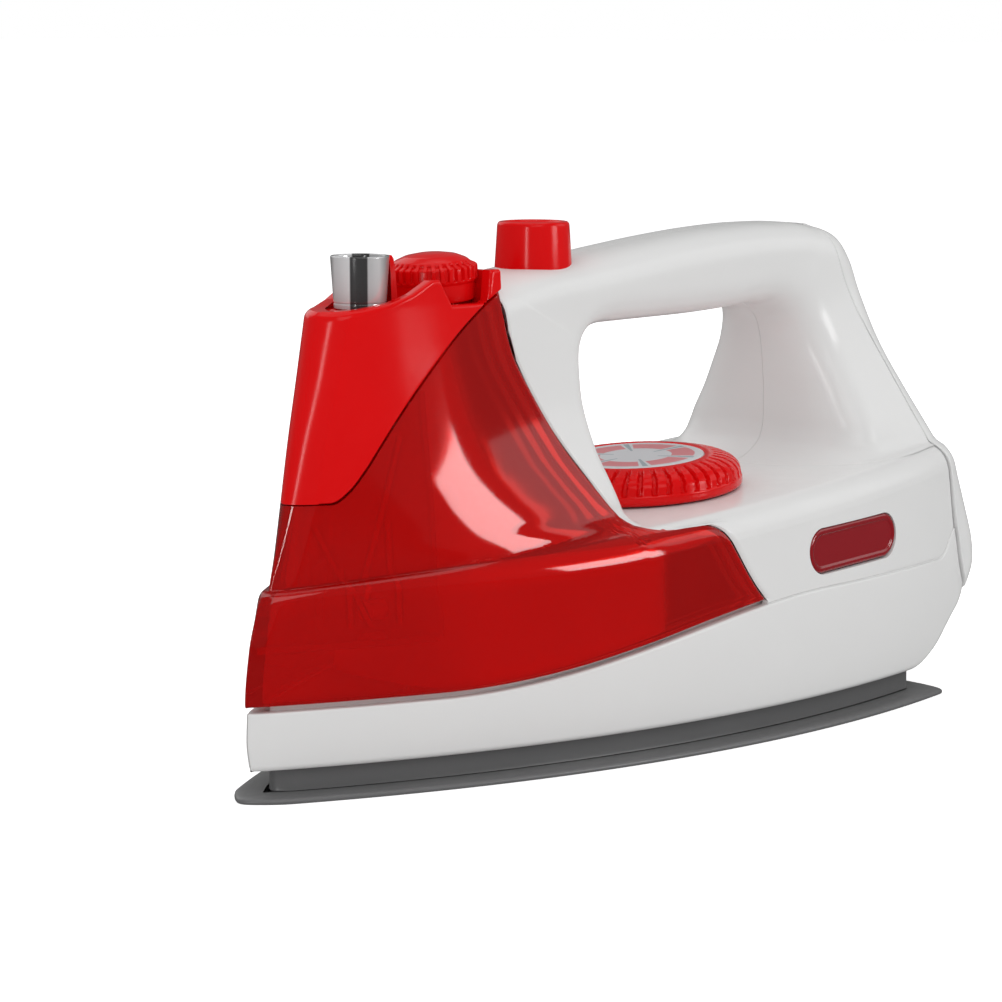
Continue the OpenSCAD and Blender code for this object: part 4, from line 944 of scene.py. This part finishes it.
class IRON_OT_rear(bpy.types.Operator):
    """The rear cover and the battery door in it: one sheet from the seam to the rear line, cut by the
    door's outline, and raised ridges on the door"""

    bl_idname = "iron.rear"
    bl_label = "Rear cover and door"

    def execute(self, context):
        k = sizes()
        rows = np.concatenate([np.linspace(0, 1, 14)[:-1] ** 1.5 * 0.08, np.linspace(0.08, 1, 84)])
        rear = OUTER_LINE[np.argmax(OUTER_LINE[:, 0] >= REAR_SEAM[0][0]):]
        foot_z = REAR_SEAM[-1][1]
        rear = rear[:np.argmax(rear[:, 1] < foot_z) + 1]
        t = even_ends(60, 2.2)[None]
        S, Z = (mix(a, b, t) for a, b in zip(spaced(SEAM_LINE, rows), spaced(rear, rows)))
        lower = traced(215, 229, 60, lambda s: foot_z)
        W = np.maximum(edged(S, Z, cover_half(k, S, Z), (SEAM_LINE, 0.4), (lower, 0.5)), 0)
        W[:, -1] = W[0] = 0
        inner = (S - k.wall * t ** 4, Z, np.maximum(W - k.wall, 0))
        g = walled(*[[c[:, ::-1] for c in f] for f in ((S, Z, W), inner)], both=True)
        cover = piece("rear_cover", [g], (190, 0, 45), "white_shell", wrap=(0,))
        outwards(cover)
        door = bpy.data.objects.new("battery_door", cover.data.copy())
        bpy.context.scene.collection.objects.link(door)
        for ob, node_name, half, low, high, operation in (
                (cover, "rear_cover", 23.3, 25.3, 57.3, "DIFFERENCE"),
                (door, "battery_door", 23.0, 25.6, 57.0, "INTERSECT")):
            block = [[(x, -half, low), (x, half, low), (x, half, high), (x, -half, high)] for x in (205, 240)]
            carve(ob, solid("door cut", block), operation)
            sharpen(ob, 42)
            finish_piece(ob, "white_shell", "iron", node_name)
        # the ridges: round bars on the door's surface that narrow at both ends
        y = np.linspace(-11.5, 11.5, 40)[None]
        a = np.linspace(0, math.pi, 7)[:, None]
        end = closing(11.7 - np.abs(y), 0.8)
        ridges = []
        for i in range(-4, 5):
            y_all, z = np.broadcast_arrays(y, 37.6 + 2.05 * i + 0.6 * end * np.cos(a))
            ridges.append(np.stack([rear_at(k, y_all, z) + 0.45 * end * np.sin(a) - 0.05, y_all, z], -1))
        bars = piece("door_ridges", ridges, (200, 0, 37), "white_shell")
        finish_piece(bars, "white_shell", "iron")
        return {"FINISHED"}


def rear_at(k, y, z):
    """Distance behind the nose of the rear cover's surface at a side place and height, by halving the
    interval in which its half width passes that place."""
    lo, hi = np.full(y.shape, 205.0), rear_s(z)
    for _ in range(22):
        mid = (lo + hi) / 2
        wide = cover_half(k, mid, z) > np.abs(y)
        lo, hi = np.where(wide, mid, lo), np.where(wide, hi, mid)
    return (lo + hi) / 2


# ---------------- tank and what shows through it


def tank_grid(k):
    """Places of the tank's side: from the nose to its rear edge, from the seam over the crease to its top."""
    apex, end = TANK_EDGE[0][0], TANK_EDGE[-1][0] - 0.3
    x1 = np.linspace(0, 1, 74)[None] ** 1.8
    x2 = even_ends(64, 1.5)[None, 1:]
    v = np.concatenate([even_ends(40, 1.7) * 0.5, 0.5 + 0.5 * even_ends(56, 1.7)[1:]])[:, None]
    S1 = np.repeat(x1 * apex + 5, len(v), 0)
    S2 = np.repeat(mix(apex, end, x2), len(v), 0)
    for _ in range(14):
        S = np.hstack([S1, S2])
        lo = seam_z(k, S) + k.seam
        hi = np.where(S < apex, on_line(S, CAP_LINE) - k.gap, on_line(S, EDGE_LINE))
        mid = np.minimum(deck_z(k, S) - mix(0.12, 3.0, smooth((S - 35) / 45)), mix(lo, hi, 0.72))
        Z = np.where(v <= 0.5, mix(lo, mid, v * 2), mix(mid, hi, v * 2 - 1))
        z = Z[:, :x1.size]
        S1 = mix(mix(course(z, LOW_TIP), course(z, TOWER_TIP), smooth((z - 43.15) / 0.45)), apex, x1)
    return np.hstack([S1, S2]), Z


STRUTS = (((19.2, 57), (28.3, 35.3)), ((38.4, 75.2), (27.3, 41)), ((24.2, 47.9), (24.2, 35.3)),
          ((34.3, 57), (34.3, 35.3)))


class IRON_OT_tank(bpy.types.Operator):
    """The clear water tank, the white core behind the water and the struts inside the tank's walls"""

    bl_idname = "iron.tank"
    bl_label = "Water tank"

    def execute(self, context):
        k = sizes()
        S, Z = tank_grid(k)
        bottom = traced(0, 129, 300, lambda s: seam_z(k, s) + k.seam)
        W = edged(S, Z, tank_half(k, S, Z), (EDGE_LINE, 1.1), (bottom, 0.6))
        made("water_tank", [hood(S, Z, W, 2.0, 2.6)], (70, 0, 45), "clear_red", 50, "water_tank")
        self.core(k)
        self.struts(k)
        return {"FINISHED"}

    def core(self, k):
        """The core is the tank's side drawn in, closed in front by a round upright corner."""
        front, apex = 46.0, TANK_EDGE[0][0]
        x = np.concatenate([np.linspace(0, 1, 36)[:-1] ** 2.4 * 0.25, np.linspace(0.25, 1, 60)])
        v = np.linspace(0, 1, 90)[:, None]
        S = mix(front, 126.5, x)[None].repeat(len(v), 0)
        hi = np.where(S < apex, on_line(S, CAP_LINE) + 3, on_line(S, EDGE_LINE) - 0.6)
        hi = np.where(S < apex + 0.5, np.minimum(hi, CAP_FLOOR - 1.2), hi)
        lo = seam_z(k, S) + 0.5
        Z = mix(lo, np.maximum(hi, lo + 0.4), v)
        low = low_half(k, S, Z, mix(12, 5, smooth((S - 86) / 14)))
        W = np.minimum(smooth_max(low, tower_end(k, S, Z), 9) - 3.2, tank_half(k, S, Z) - 2.4)
        W = np.maximum(W, 0.1) * closing(S - front, 7, 2.6)
        made("tank_core", [hood(S, Z, W, 1.2, 1.4)], (90, 0, 45), "white_shell", 50, "tank_core")

    def struts(self, k):
        """Round struts along the inside of the walls, each a circle carried between two places."""
        grids = []
        a = np.linspace(0, 2 * math.pi, 12, endpoint=False)
        t = np.linspace(0, 1, 24)[:, None]
        for (s0, z0), (s1, z1) in STRUTS:
            s, z = mix(s0, s1, t), mix(z0, z1, t)
            y = tank_half(k, s, z) - 2.4
            for side in (-1, 1):
                g = np.broadcast_arrays(s + 0.9 * np.cos(a), side * (y + 0.9 * np.sin(a)), z)
                grids.append(np.stack(g, -1))
        centres = [g.reshape(-1, 3).mean(0) for g in grids]
        ob = piece("tank_struts", grids, centres, "clear_red", wrap=range(len(grids)))
        finish_piece(ob, "clear_red", "iron")


# ---------------- nose cap and its fittings


class IRON_OT_nose_cap(bpy.types.Operator):
    """The red nose cap: the tower's side between an S-shaped lower edge and a stepped upper outline, with a
    floor, and the fin behind the nozzle"""

    bl_idname = "iron.nose_cap"
    bl_label = "Nose cap"

    def execute(self, context):
        k = sizes()
        corners, heights = np.array(CAP_TOP).T
        tip, end = corners[0], corners[-1]
        corners = (corners - tip) / (end - tip)
        x = [np.linspace(0, 1, 26)[:-1] ** 2 * corners[1]]
        for a, b in zip(corners[1:-1], corners[2:]):
            x.append(mix(a, b, np.linspace(0, 1, max(4, int((b - a) * 90)))[:-1]))
        x = np.concatenate(x + [[1.0]])[None]
        v = even_ends(60, 1.6)[:, None]
        S = mix(tip, end, x).repeat(len(v), 0)
        for _ in range(14):
            Z = mix(on_line(S, CAP_LINE), np.interp(x, corners, heights), v)
            S = mix(course(Z, TOWER_TIP), end, x)
        top_line = np.stack([S[-1], Z[-1]], 1)
        round_top = mix(1.5, 0.7, smooth((S - 30) / 12))
        W = edged(S, Z, tower_half(k, S, Z), (CAP_LINE, 0.6), (top_line, round_top))
        # the floor, which dips towards the nose
        s = mix(27.0, 68.0, np.linspace(0, 1, 60) ** 1.5)
        w = np.maximum(tower_half(k, s, np.full_like(s, CAP_FLOOR - 1.4)) - 1.0, 0.02)
        floor = level(s, w, CAP_FLOOR - 0.1 - 2.4 * smooth((32.5 - s) / 4), np.linspace(-1, 1, 15))
        # the rear wall, one row for each height
        z = np.array([[101.2], [104.0], [107.8], [108.8]])
        wall = level(66.2, np.linspace(-1, 1, 25), z, (tower_half(k, 67.6, z) - 0.7)[:, 0])
        made("nose_cap", [hood(S, Z, W, 1.9, 2.6), slab(floor, [0, 0, -1.5]), slab(wall, [1.8, 0, 0])],
             (45, 0, 85), "gloss_red", 45, "nose_cap")
        # the fin hugs the nozzle: an arc of a ring that narrows upward
        a = np.linspace(-0.72, 0.72, 24)
        rings = []
        for z, out, half in ((101.2, 1.5, 1.0), (104, 1.3, 0.95), (109, 1.1, 0.8), (112.2, 1.0, 0.62),
                             (112.9, 0.8, 0.5)):
            arcs = [np.stack([NOZZLE_S + r * np.cos(a * half), r * np.sin(a * half)], 1)
                    for r in (6.75, 6.75 + out)]
            xy = np.vstack([arcs[0], arcs[1][::-1]])
            rings.append(np.column_stack([xy, np.full(len(xy), z)]))
        fin = solid("nozzle_fin", rings, "gloss_red")
        sharpen(fin, 40)
        finish_piece(fin, "gloss_red", "iron")
        return {"FINISHED"}


class IRON_OT_fittings(bpy.types.Operator):
    """The nozzle, the filler cap, the spray button and its spring: profiles turned about their axes, the
    filler's ring with square teeth, and a coil of round wire"""

    bl_idname = "iron.fittings"
    bl_label = "Nozzle, filler and button"

    def execute(self, context):
        tube = rounded_path([
            (4.6, 0.3), (5.6, 0), (5.66, 1.0), (5.58, 1.25), (5.7, 1.5), (6.35, 11.1), (6.2, 11.3),
            (5.55, 11.3), (5.35, 11.0), (4.7, 1.2)], 0.22)
        # the plated finish of the nozzle carries painted reflection bands
        made("nozzle_sleeve", [turned(tube + [0, CAP_FLOOR], (NOZZLE_S, 0, 0))], (NOZZLE_S, 0, 107),
             "plated", 50, "nozzle_sleeve")
        # filler cap: between the teeth the ring is drawn in
        teeth = 32
        a = np.linspace(0, 2 * math.pi, teeth * 20, endpoint=False)
        prof = rounded_path([
            (0.01, 10.8), (3, 10.7), (5.8, 10.2), (7.9, 9.3), (8.8, 8.5), (9.3, 8.25), (10.1, 7.9),
            (10.15, 5.2), (9.75, 4.6), (9.45, 4.3), (9.3, 0.5), (8.6, 0.4), (8.55, 4.0)], 0.35, 4)
        r, z = prof[:, :1], prof[:, 1:]
        tooth = smooth((np.cos(teeth * a) + 0.25) / 0.4)[None]
        r = r - 0.75 * smooth((z - 5.0) / 0.4) * smooth((r - 8.2) / 0.9) * (1 - tooth)
        g = tilt(np.stack([r * np.cos(a), r * np.sin(a), z + 0 * r], -1), (FILLER_S, 0, CAP_FLOOR), PITCH)
        made("filler_cap", [g], (FILLER_S, 0, 106), "gloss_red", 50, "filler_cap", body="filler_lid")
        # button spring: a coil of round wire that fills the box of the CAD spring
        lo, hi = (np.array(c) * 1000 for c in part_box("button_spring"))
        wire, turns = 0.45, 8
        a = np.linspace(0, 2 * math.pi * turns, turns * 32)[:, None]
        ring = np.linspace(0, 2 * math.pi, 10, endpoint=False)[None]
        reach = (hi[0] - lo[0]) / 2 - wire + wire * np.cos(ring)
        height = lo[2] + wire + (hi[2] - lo[2] - 2 * wire - 0.1) * a / a.max() + wire * np.sin(ring)
        g = np.stack([BUTTON_S + reach * np.cos(a), reach * np.sin(a), height], -1)
        spring = piece("button_spring", [capped(g)], (BUTTON_S, 0, 105), "steel", wrap=(0,))
        outwards(spring)
        finish_piece(spring, "steel", "iron", "button_spring")
        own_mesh(spring)
        prof = rounded_path([
            (0.01, 117.0), (4.5, 117.05), (6.2, 117.3), (6.9, 117.75), (7.75, 117.8), (8.15, 117.2),
            (8.85, 106), (8.9, 102.2), (7.4, 102.2), (7.3, 106), (6.7, 114.8), (0.01, 114.8)], 0.5)
        made("spray_button", [turned(prof, (BUTTON_S, 0, 0))], (BUTTON_S, 0, 110), "gloss_red", 50,
             "spray_button", body="button")
        return {"FINISHED"}


# ---------------- dial and lamps


class IRON_OT_dial(bpy.types.Operator):
    """The dial: a profile turned about its axis whose shoulder and side are cut by slanting grooves, and the
    pale face sunk in it"""

    bl_idname = "iron.dial"
    bl_label = "Dial"

    def execute(self, context):
        k = sizes()
        centre = (DIAL_S, 0, deck_z(k, DIAL_S))
        inside = np.array(centre) + [0, 0, 4]
        a = np.linspace(0, 2 * math.pi, k.ribs * 14, endpoint=False)[None]
        prof = rounded_path([
            (0.01, 7.4), (16.15, 7.4), (16.3, 8.0), (17.2, 8.05), (18.4, 7.95), (21.2, 7.35), (23.2, 6.4),
            (24.4, 5.0), (24.7, 2.9), (24.9, 2.5), (24.9, 1.0), (24.2, 0.35), (20, 0.3), (4, 0.3)], 0.7)
        r, z = prof[:, :1], prof[:, 1:]
        path = run(prof)[:, None]
        slant = 0.0045 * (path - path.max() / 2)
        groove = smooth((np.cos(k.ribs * (a + slant)) - 0.35) / 0.4)
        depth = 1.05 * smooth((r - 18.2) / 0.8) * smooth((z - 2.7) / 0.5) * groove
        nr, nz = np.gradient(z[:, 0]), -np.gradient(r[:, 0])
        norm = np.hypot(nr, nz) + 1e-9
        rr = r - depth * np.abs(nr / norm)[:, None]
        zz = z - depth * np.abs(nz / norm)[:, None]
        g = tilt(np.stack([rr * np.cos(a), rr * np.sin(a), zz], -1), centre, PITCH)
        made("dial", [g], inside, "gloss_red", 45, "dial", body="dial_knob")
        prof = rounded_path([(0.01, 8.02), (15.9, 8.02), (16.15, 7.8), (16.15, 7.45)], 0.2)
        made("dial_disc", [turned(prof, centre, PITCH)], inside, "pale_disc", 50, "dial_disc",
             body="dial_knob", closed=False)
        return {"FINISHED"}


class IRON_OT_lamps(bpy.types.Operator):
    """The two lamp windows: a slot outline carried over a lens profile with a sunk rim"""

    bl_idname = "iron.lamps"
    bl_label = "Lamp windows"

    def execute(self, context):
        k = sizes()
        front = [
            (0.1, -2.4), (0.1, -0.35), (-0.15, -0.1), (-0.5, 0.0), (-1.1, 0.02), (-1.3, -0.18),
            (-1.5, -0.3), (-1.8, -0.32), (-3.4, -0.32), (-5.1, -0.32)]
        back = [(0.1, -2.4), (-0.9, -2.4), (-0.95, -1.6), (-3.4, -1.6), (-5.1, -1.6)]
        for side, end in SIDES:
            rings = [np.array([window_ring(k, side, g, d) for g, d in prof]) for prof in (front, back)]
            inside = (lamp_frame(k)[0] - [0, 30, 0]) * [1, side, 1]
            name = "lamp_window_" + end
            made(name, rings, inside, "lamp_red", 50, name, wrap=(0, 1))
        return {"FINISHED"}


# ---------------- carried-over nodes and stage


class IRON_OT_inner_finishes(bpy.types.Operator):
    """Gives every CAD node that stays its moulded, metal or rubber finish"""

    bl_idname = "iron.inner_finishes"
    bl_label = "Inner finishes"

    def execute(self, context):
        for sub in frame["record"]["subparts"]:
            ob = frame["nodes"].get(sub["node"])
            if ob is None:
                raise RuntimeError(f"no node {sub['node']}")
            ob.data.materials.clear()
            ob.data.materials.append(finishes()[sub["material_slot"]])
        return {"FINISHED"}


def looking(place, back):
    """The matrix of a camera or lamp at a place that looks against a direction, its right side level."""
    b = np.array(back) / np.linalg.norm(back)
    r = np.cross([0, 0, 1], b)
    r /= np.linalg.norm(r)
    u = np.cross(b, r)
    return Matrix([[r[i], u[i], b[i], place[i]] for i in range(3)] + [[0, 0, 0, 1]])


def ray(t, kind):
    """One for rays of a kind and nothing for others."""
    return node(t, "LightPath", out=f"Is {kind} Ray")


def seen(t):
    """One for rays from the camera and through glass: the greater of the two."""
    return node(t, "Math", {0: ray(t, "Camera"), 1: ray(t, "Transmission")}, operation="MAXIMUM")


class IRON_OT_stage(bpy.types.Operator):
    """The camera, the pale floor, the soft lamps and the plain white surroundings"""

    bl_idname = "iron.stage"
    bl_label = "Stage"

    def execute(self, context):
        scene = context.scene
        scene.view_settings.view_transform = "Standard"
        az, el = VIEW_TURN, VIEW_RISE
        back = (math.sin(az) * math.cos(el), -math.cos(az) * math.cos(el), math.sin(el))
        cam = bpy.data.objects.new("camera", bpy.data.cameras.new("camera"))
        scene.collection.objects.link(cam)
        cam.matrix_world = looking(CAMERA_PLACE, back)
        cam.data.lens, cam.data.sensor_width = 125.75, 36
        cam.data.clip_start, cam.data.clip_end = 0.01, 50
        scene.camera = cam
        self.floor(scene)
        self.world(scene)
        for name, place, size, power in LIGHTS:
            lamp = bpy.data.objects.new(name, bpy.data.lights.new(name, "AREA"))
            lamp.data.size, lamp.data.energy = size, power
            scene.collection.objects.link(lamp)
            lamp.visible_camera = False
            lamp.visible_diffuse = name not in ("glow", "strip")
            if name == "strip":
                lamp.data.shape, lamp.data.size_y = "RECTANGLE", 0.5
            lamp.matrix_world = looking(place, np.array(place) - [0, 0, 0.05])
        return {"FINISHED"}

    def floor(self, scene):
        """A wide pale sheet. For rays from the camera and through glass it glows, so that it reads white, and
        for glossy rays it is dark, so that the iron's sides don't mirror it."""
        me = bpy.data.meshes.new("floor")
        d = 14.0
        me.from_pydata([(-d, -d, 0), (d, -d, 0), (d, d, 0), (-d, d, 0)], [], [(0, 1, 2, 3)])
        ob = bpy.data.objects.new("floor", me)
        scene.collection.objects.link(ob)

        def shader(t):
            """The plain floor, the glowing one or the dark one, by the kind of ray."""
            colour = cloudy(t, scene.iron_colours.floor, 3, 2, 0.99, 1)
            plain = node(t, "BsdfPrincipled", {"Base Color": colour, "Roughness": 0.8,
                                               "Specular IOR Level": 0.1})
            bright = node(t, "AddShader", {0: plain, 1: node(t, "Emission", {"Strength": FLOOR_GLOW})})
            dark = node(t, "BsdfDiffuse", {"Color": (0.12, 0.12, 0.12, 1)})
            return blend(t, ray(t, "Glossy"), blend(t, seen(t), plain, bright), dark)

        me.materials.append(material("pale floor", shader))

    def world(self, scene):
        """White to rays from the camera and through glass, softer to others and dim to glossy rays."""
        scene.world = bpy.data.worlds.new("plain surroundings")
        t = blank(scene.world)
        strength = ranged(t, ray(t, "Glossy"), WORLD_SOFT, WORLD_DIM)
        soft, white = (node(t, "Background", {"Color": (1, 1, 1, 1), "Strength": v}) for v in (strength, 1.0))
        node(t, "OutputWorld", {"Surface": blend(t, seen(t), soft, white)})


STEPS = (IRON_OT_stage, IRON_OT_inner_finishes, IRON_OT_sole, IRON_OT_skirt, IRON_OT_housing, IRON_OT_rear,
         IRON_OT_tank, IRON_OT_nose_cap, IRON_OT_fittings, IRON_OT_dial, IRON_OT_lamps)


class IRON_PT_panel(bpy.types.Panel):
    """Lists the toy iron's pieces in the sidebar"""

    bl_idname = "IRON_PT_panel"
    bl_label = "Toy Iron"
    bl_space_type = "VIEW_3D"
    bl_region_type = "UI"
    bl_category = "Toy Iron"

    def draw(self, context):
        for step in STEPS:
            self.layout.operator(step.bl_idname)
        for key in IronSizes.__annotations__:
            self.layout.prop(context.scene.iron_sizes, key)
        for key in IronColours.__annotations__:
            self.layout.prop(context.scene.iron_colours, key)


CLASSES = (IronSizes, IronColours, *STEPS, IRON_PT_panel)


def register():
    for c in CLASSES:
        bpy.utils.register_class(c)
    bpy.types.Scene.iron_sizes = PointerProperty(type=IronSizes)
    bpy.types.Scene.iron_colours = PointerProperty(type=IronColours)


def unregister():
    del bpy.types.Scene.iron_colours
    del bpy.types.Scene.iron_sizes
    for c in reversed(CLASSES):
        bpy.utils.unregister_class(c)


def main():
    """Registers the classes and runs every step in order."""
    register()
    for step in STEPS:
        group, name = step.bl_idname.split(".")
        getattr(getattr(bpy.ops, group), name)()


if __name__ == "__main__":
    main()
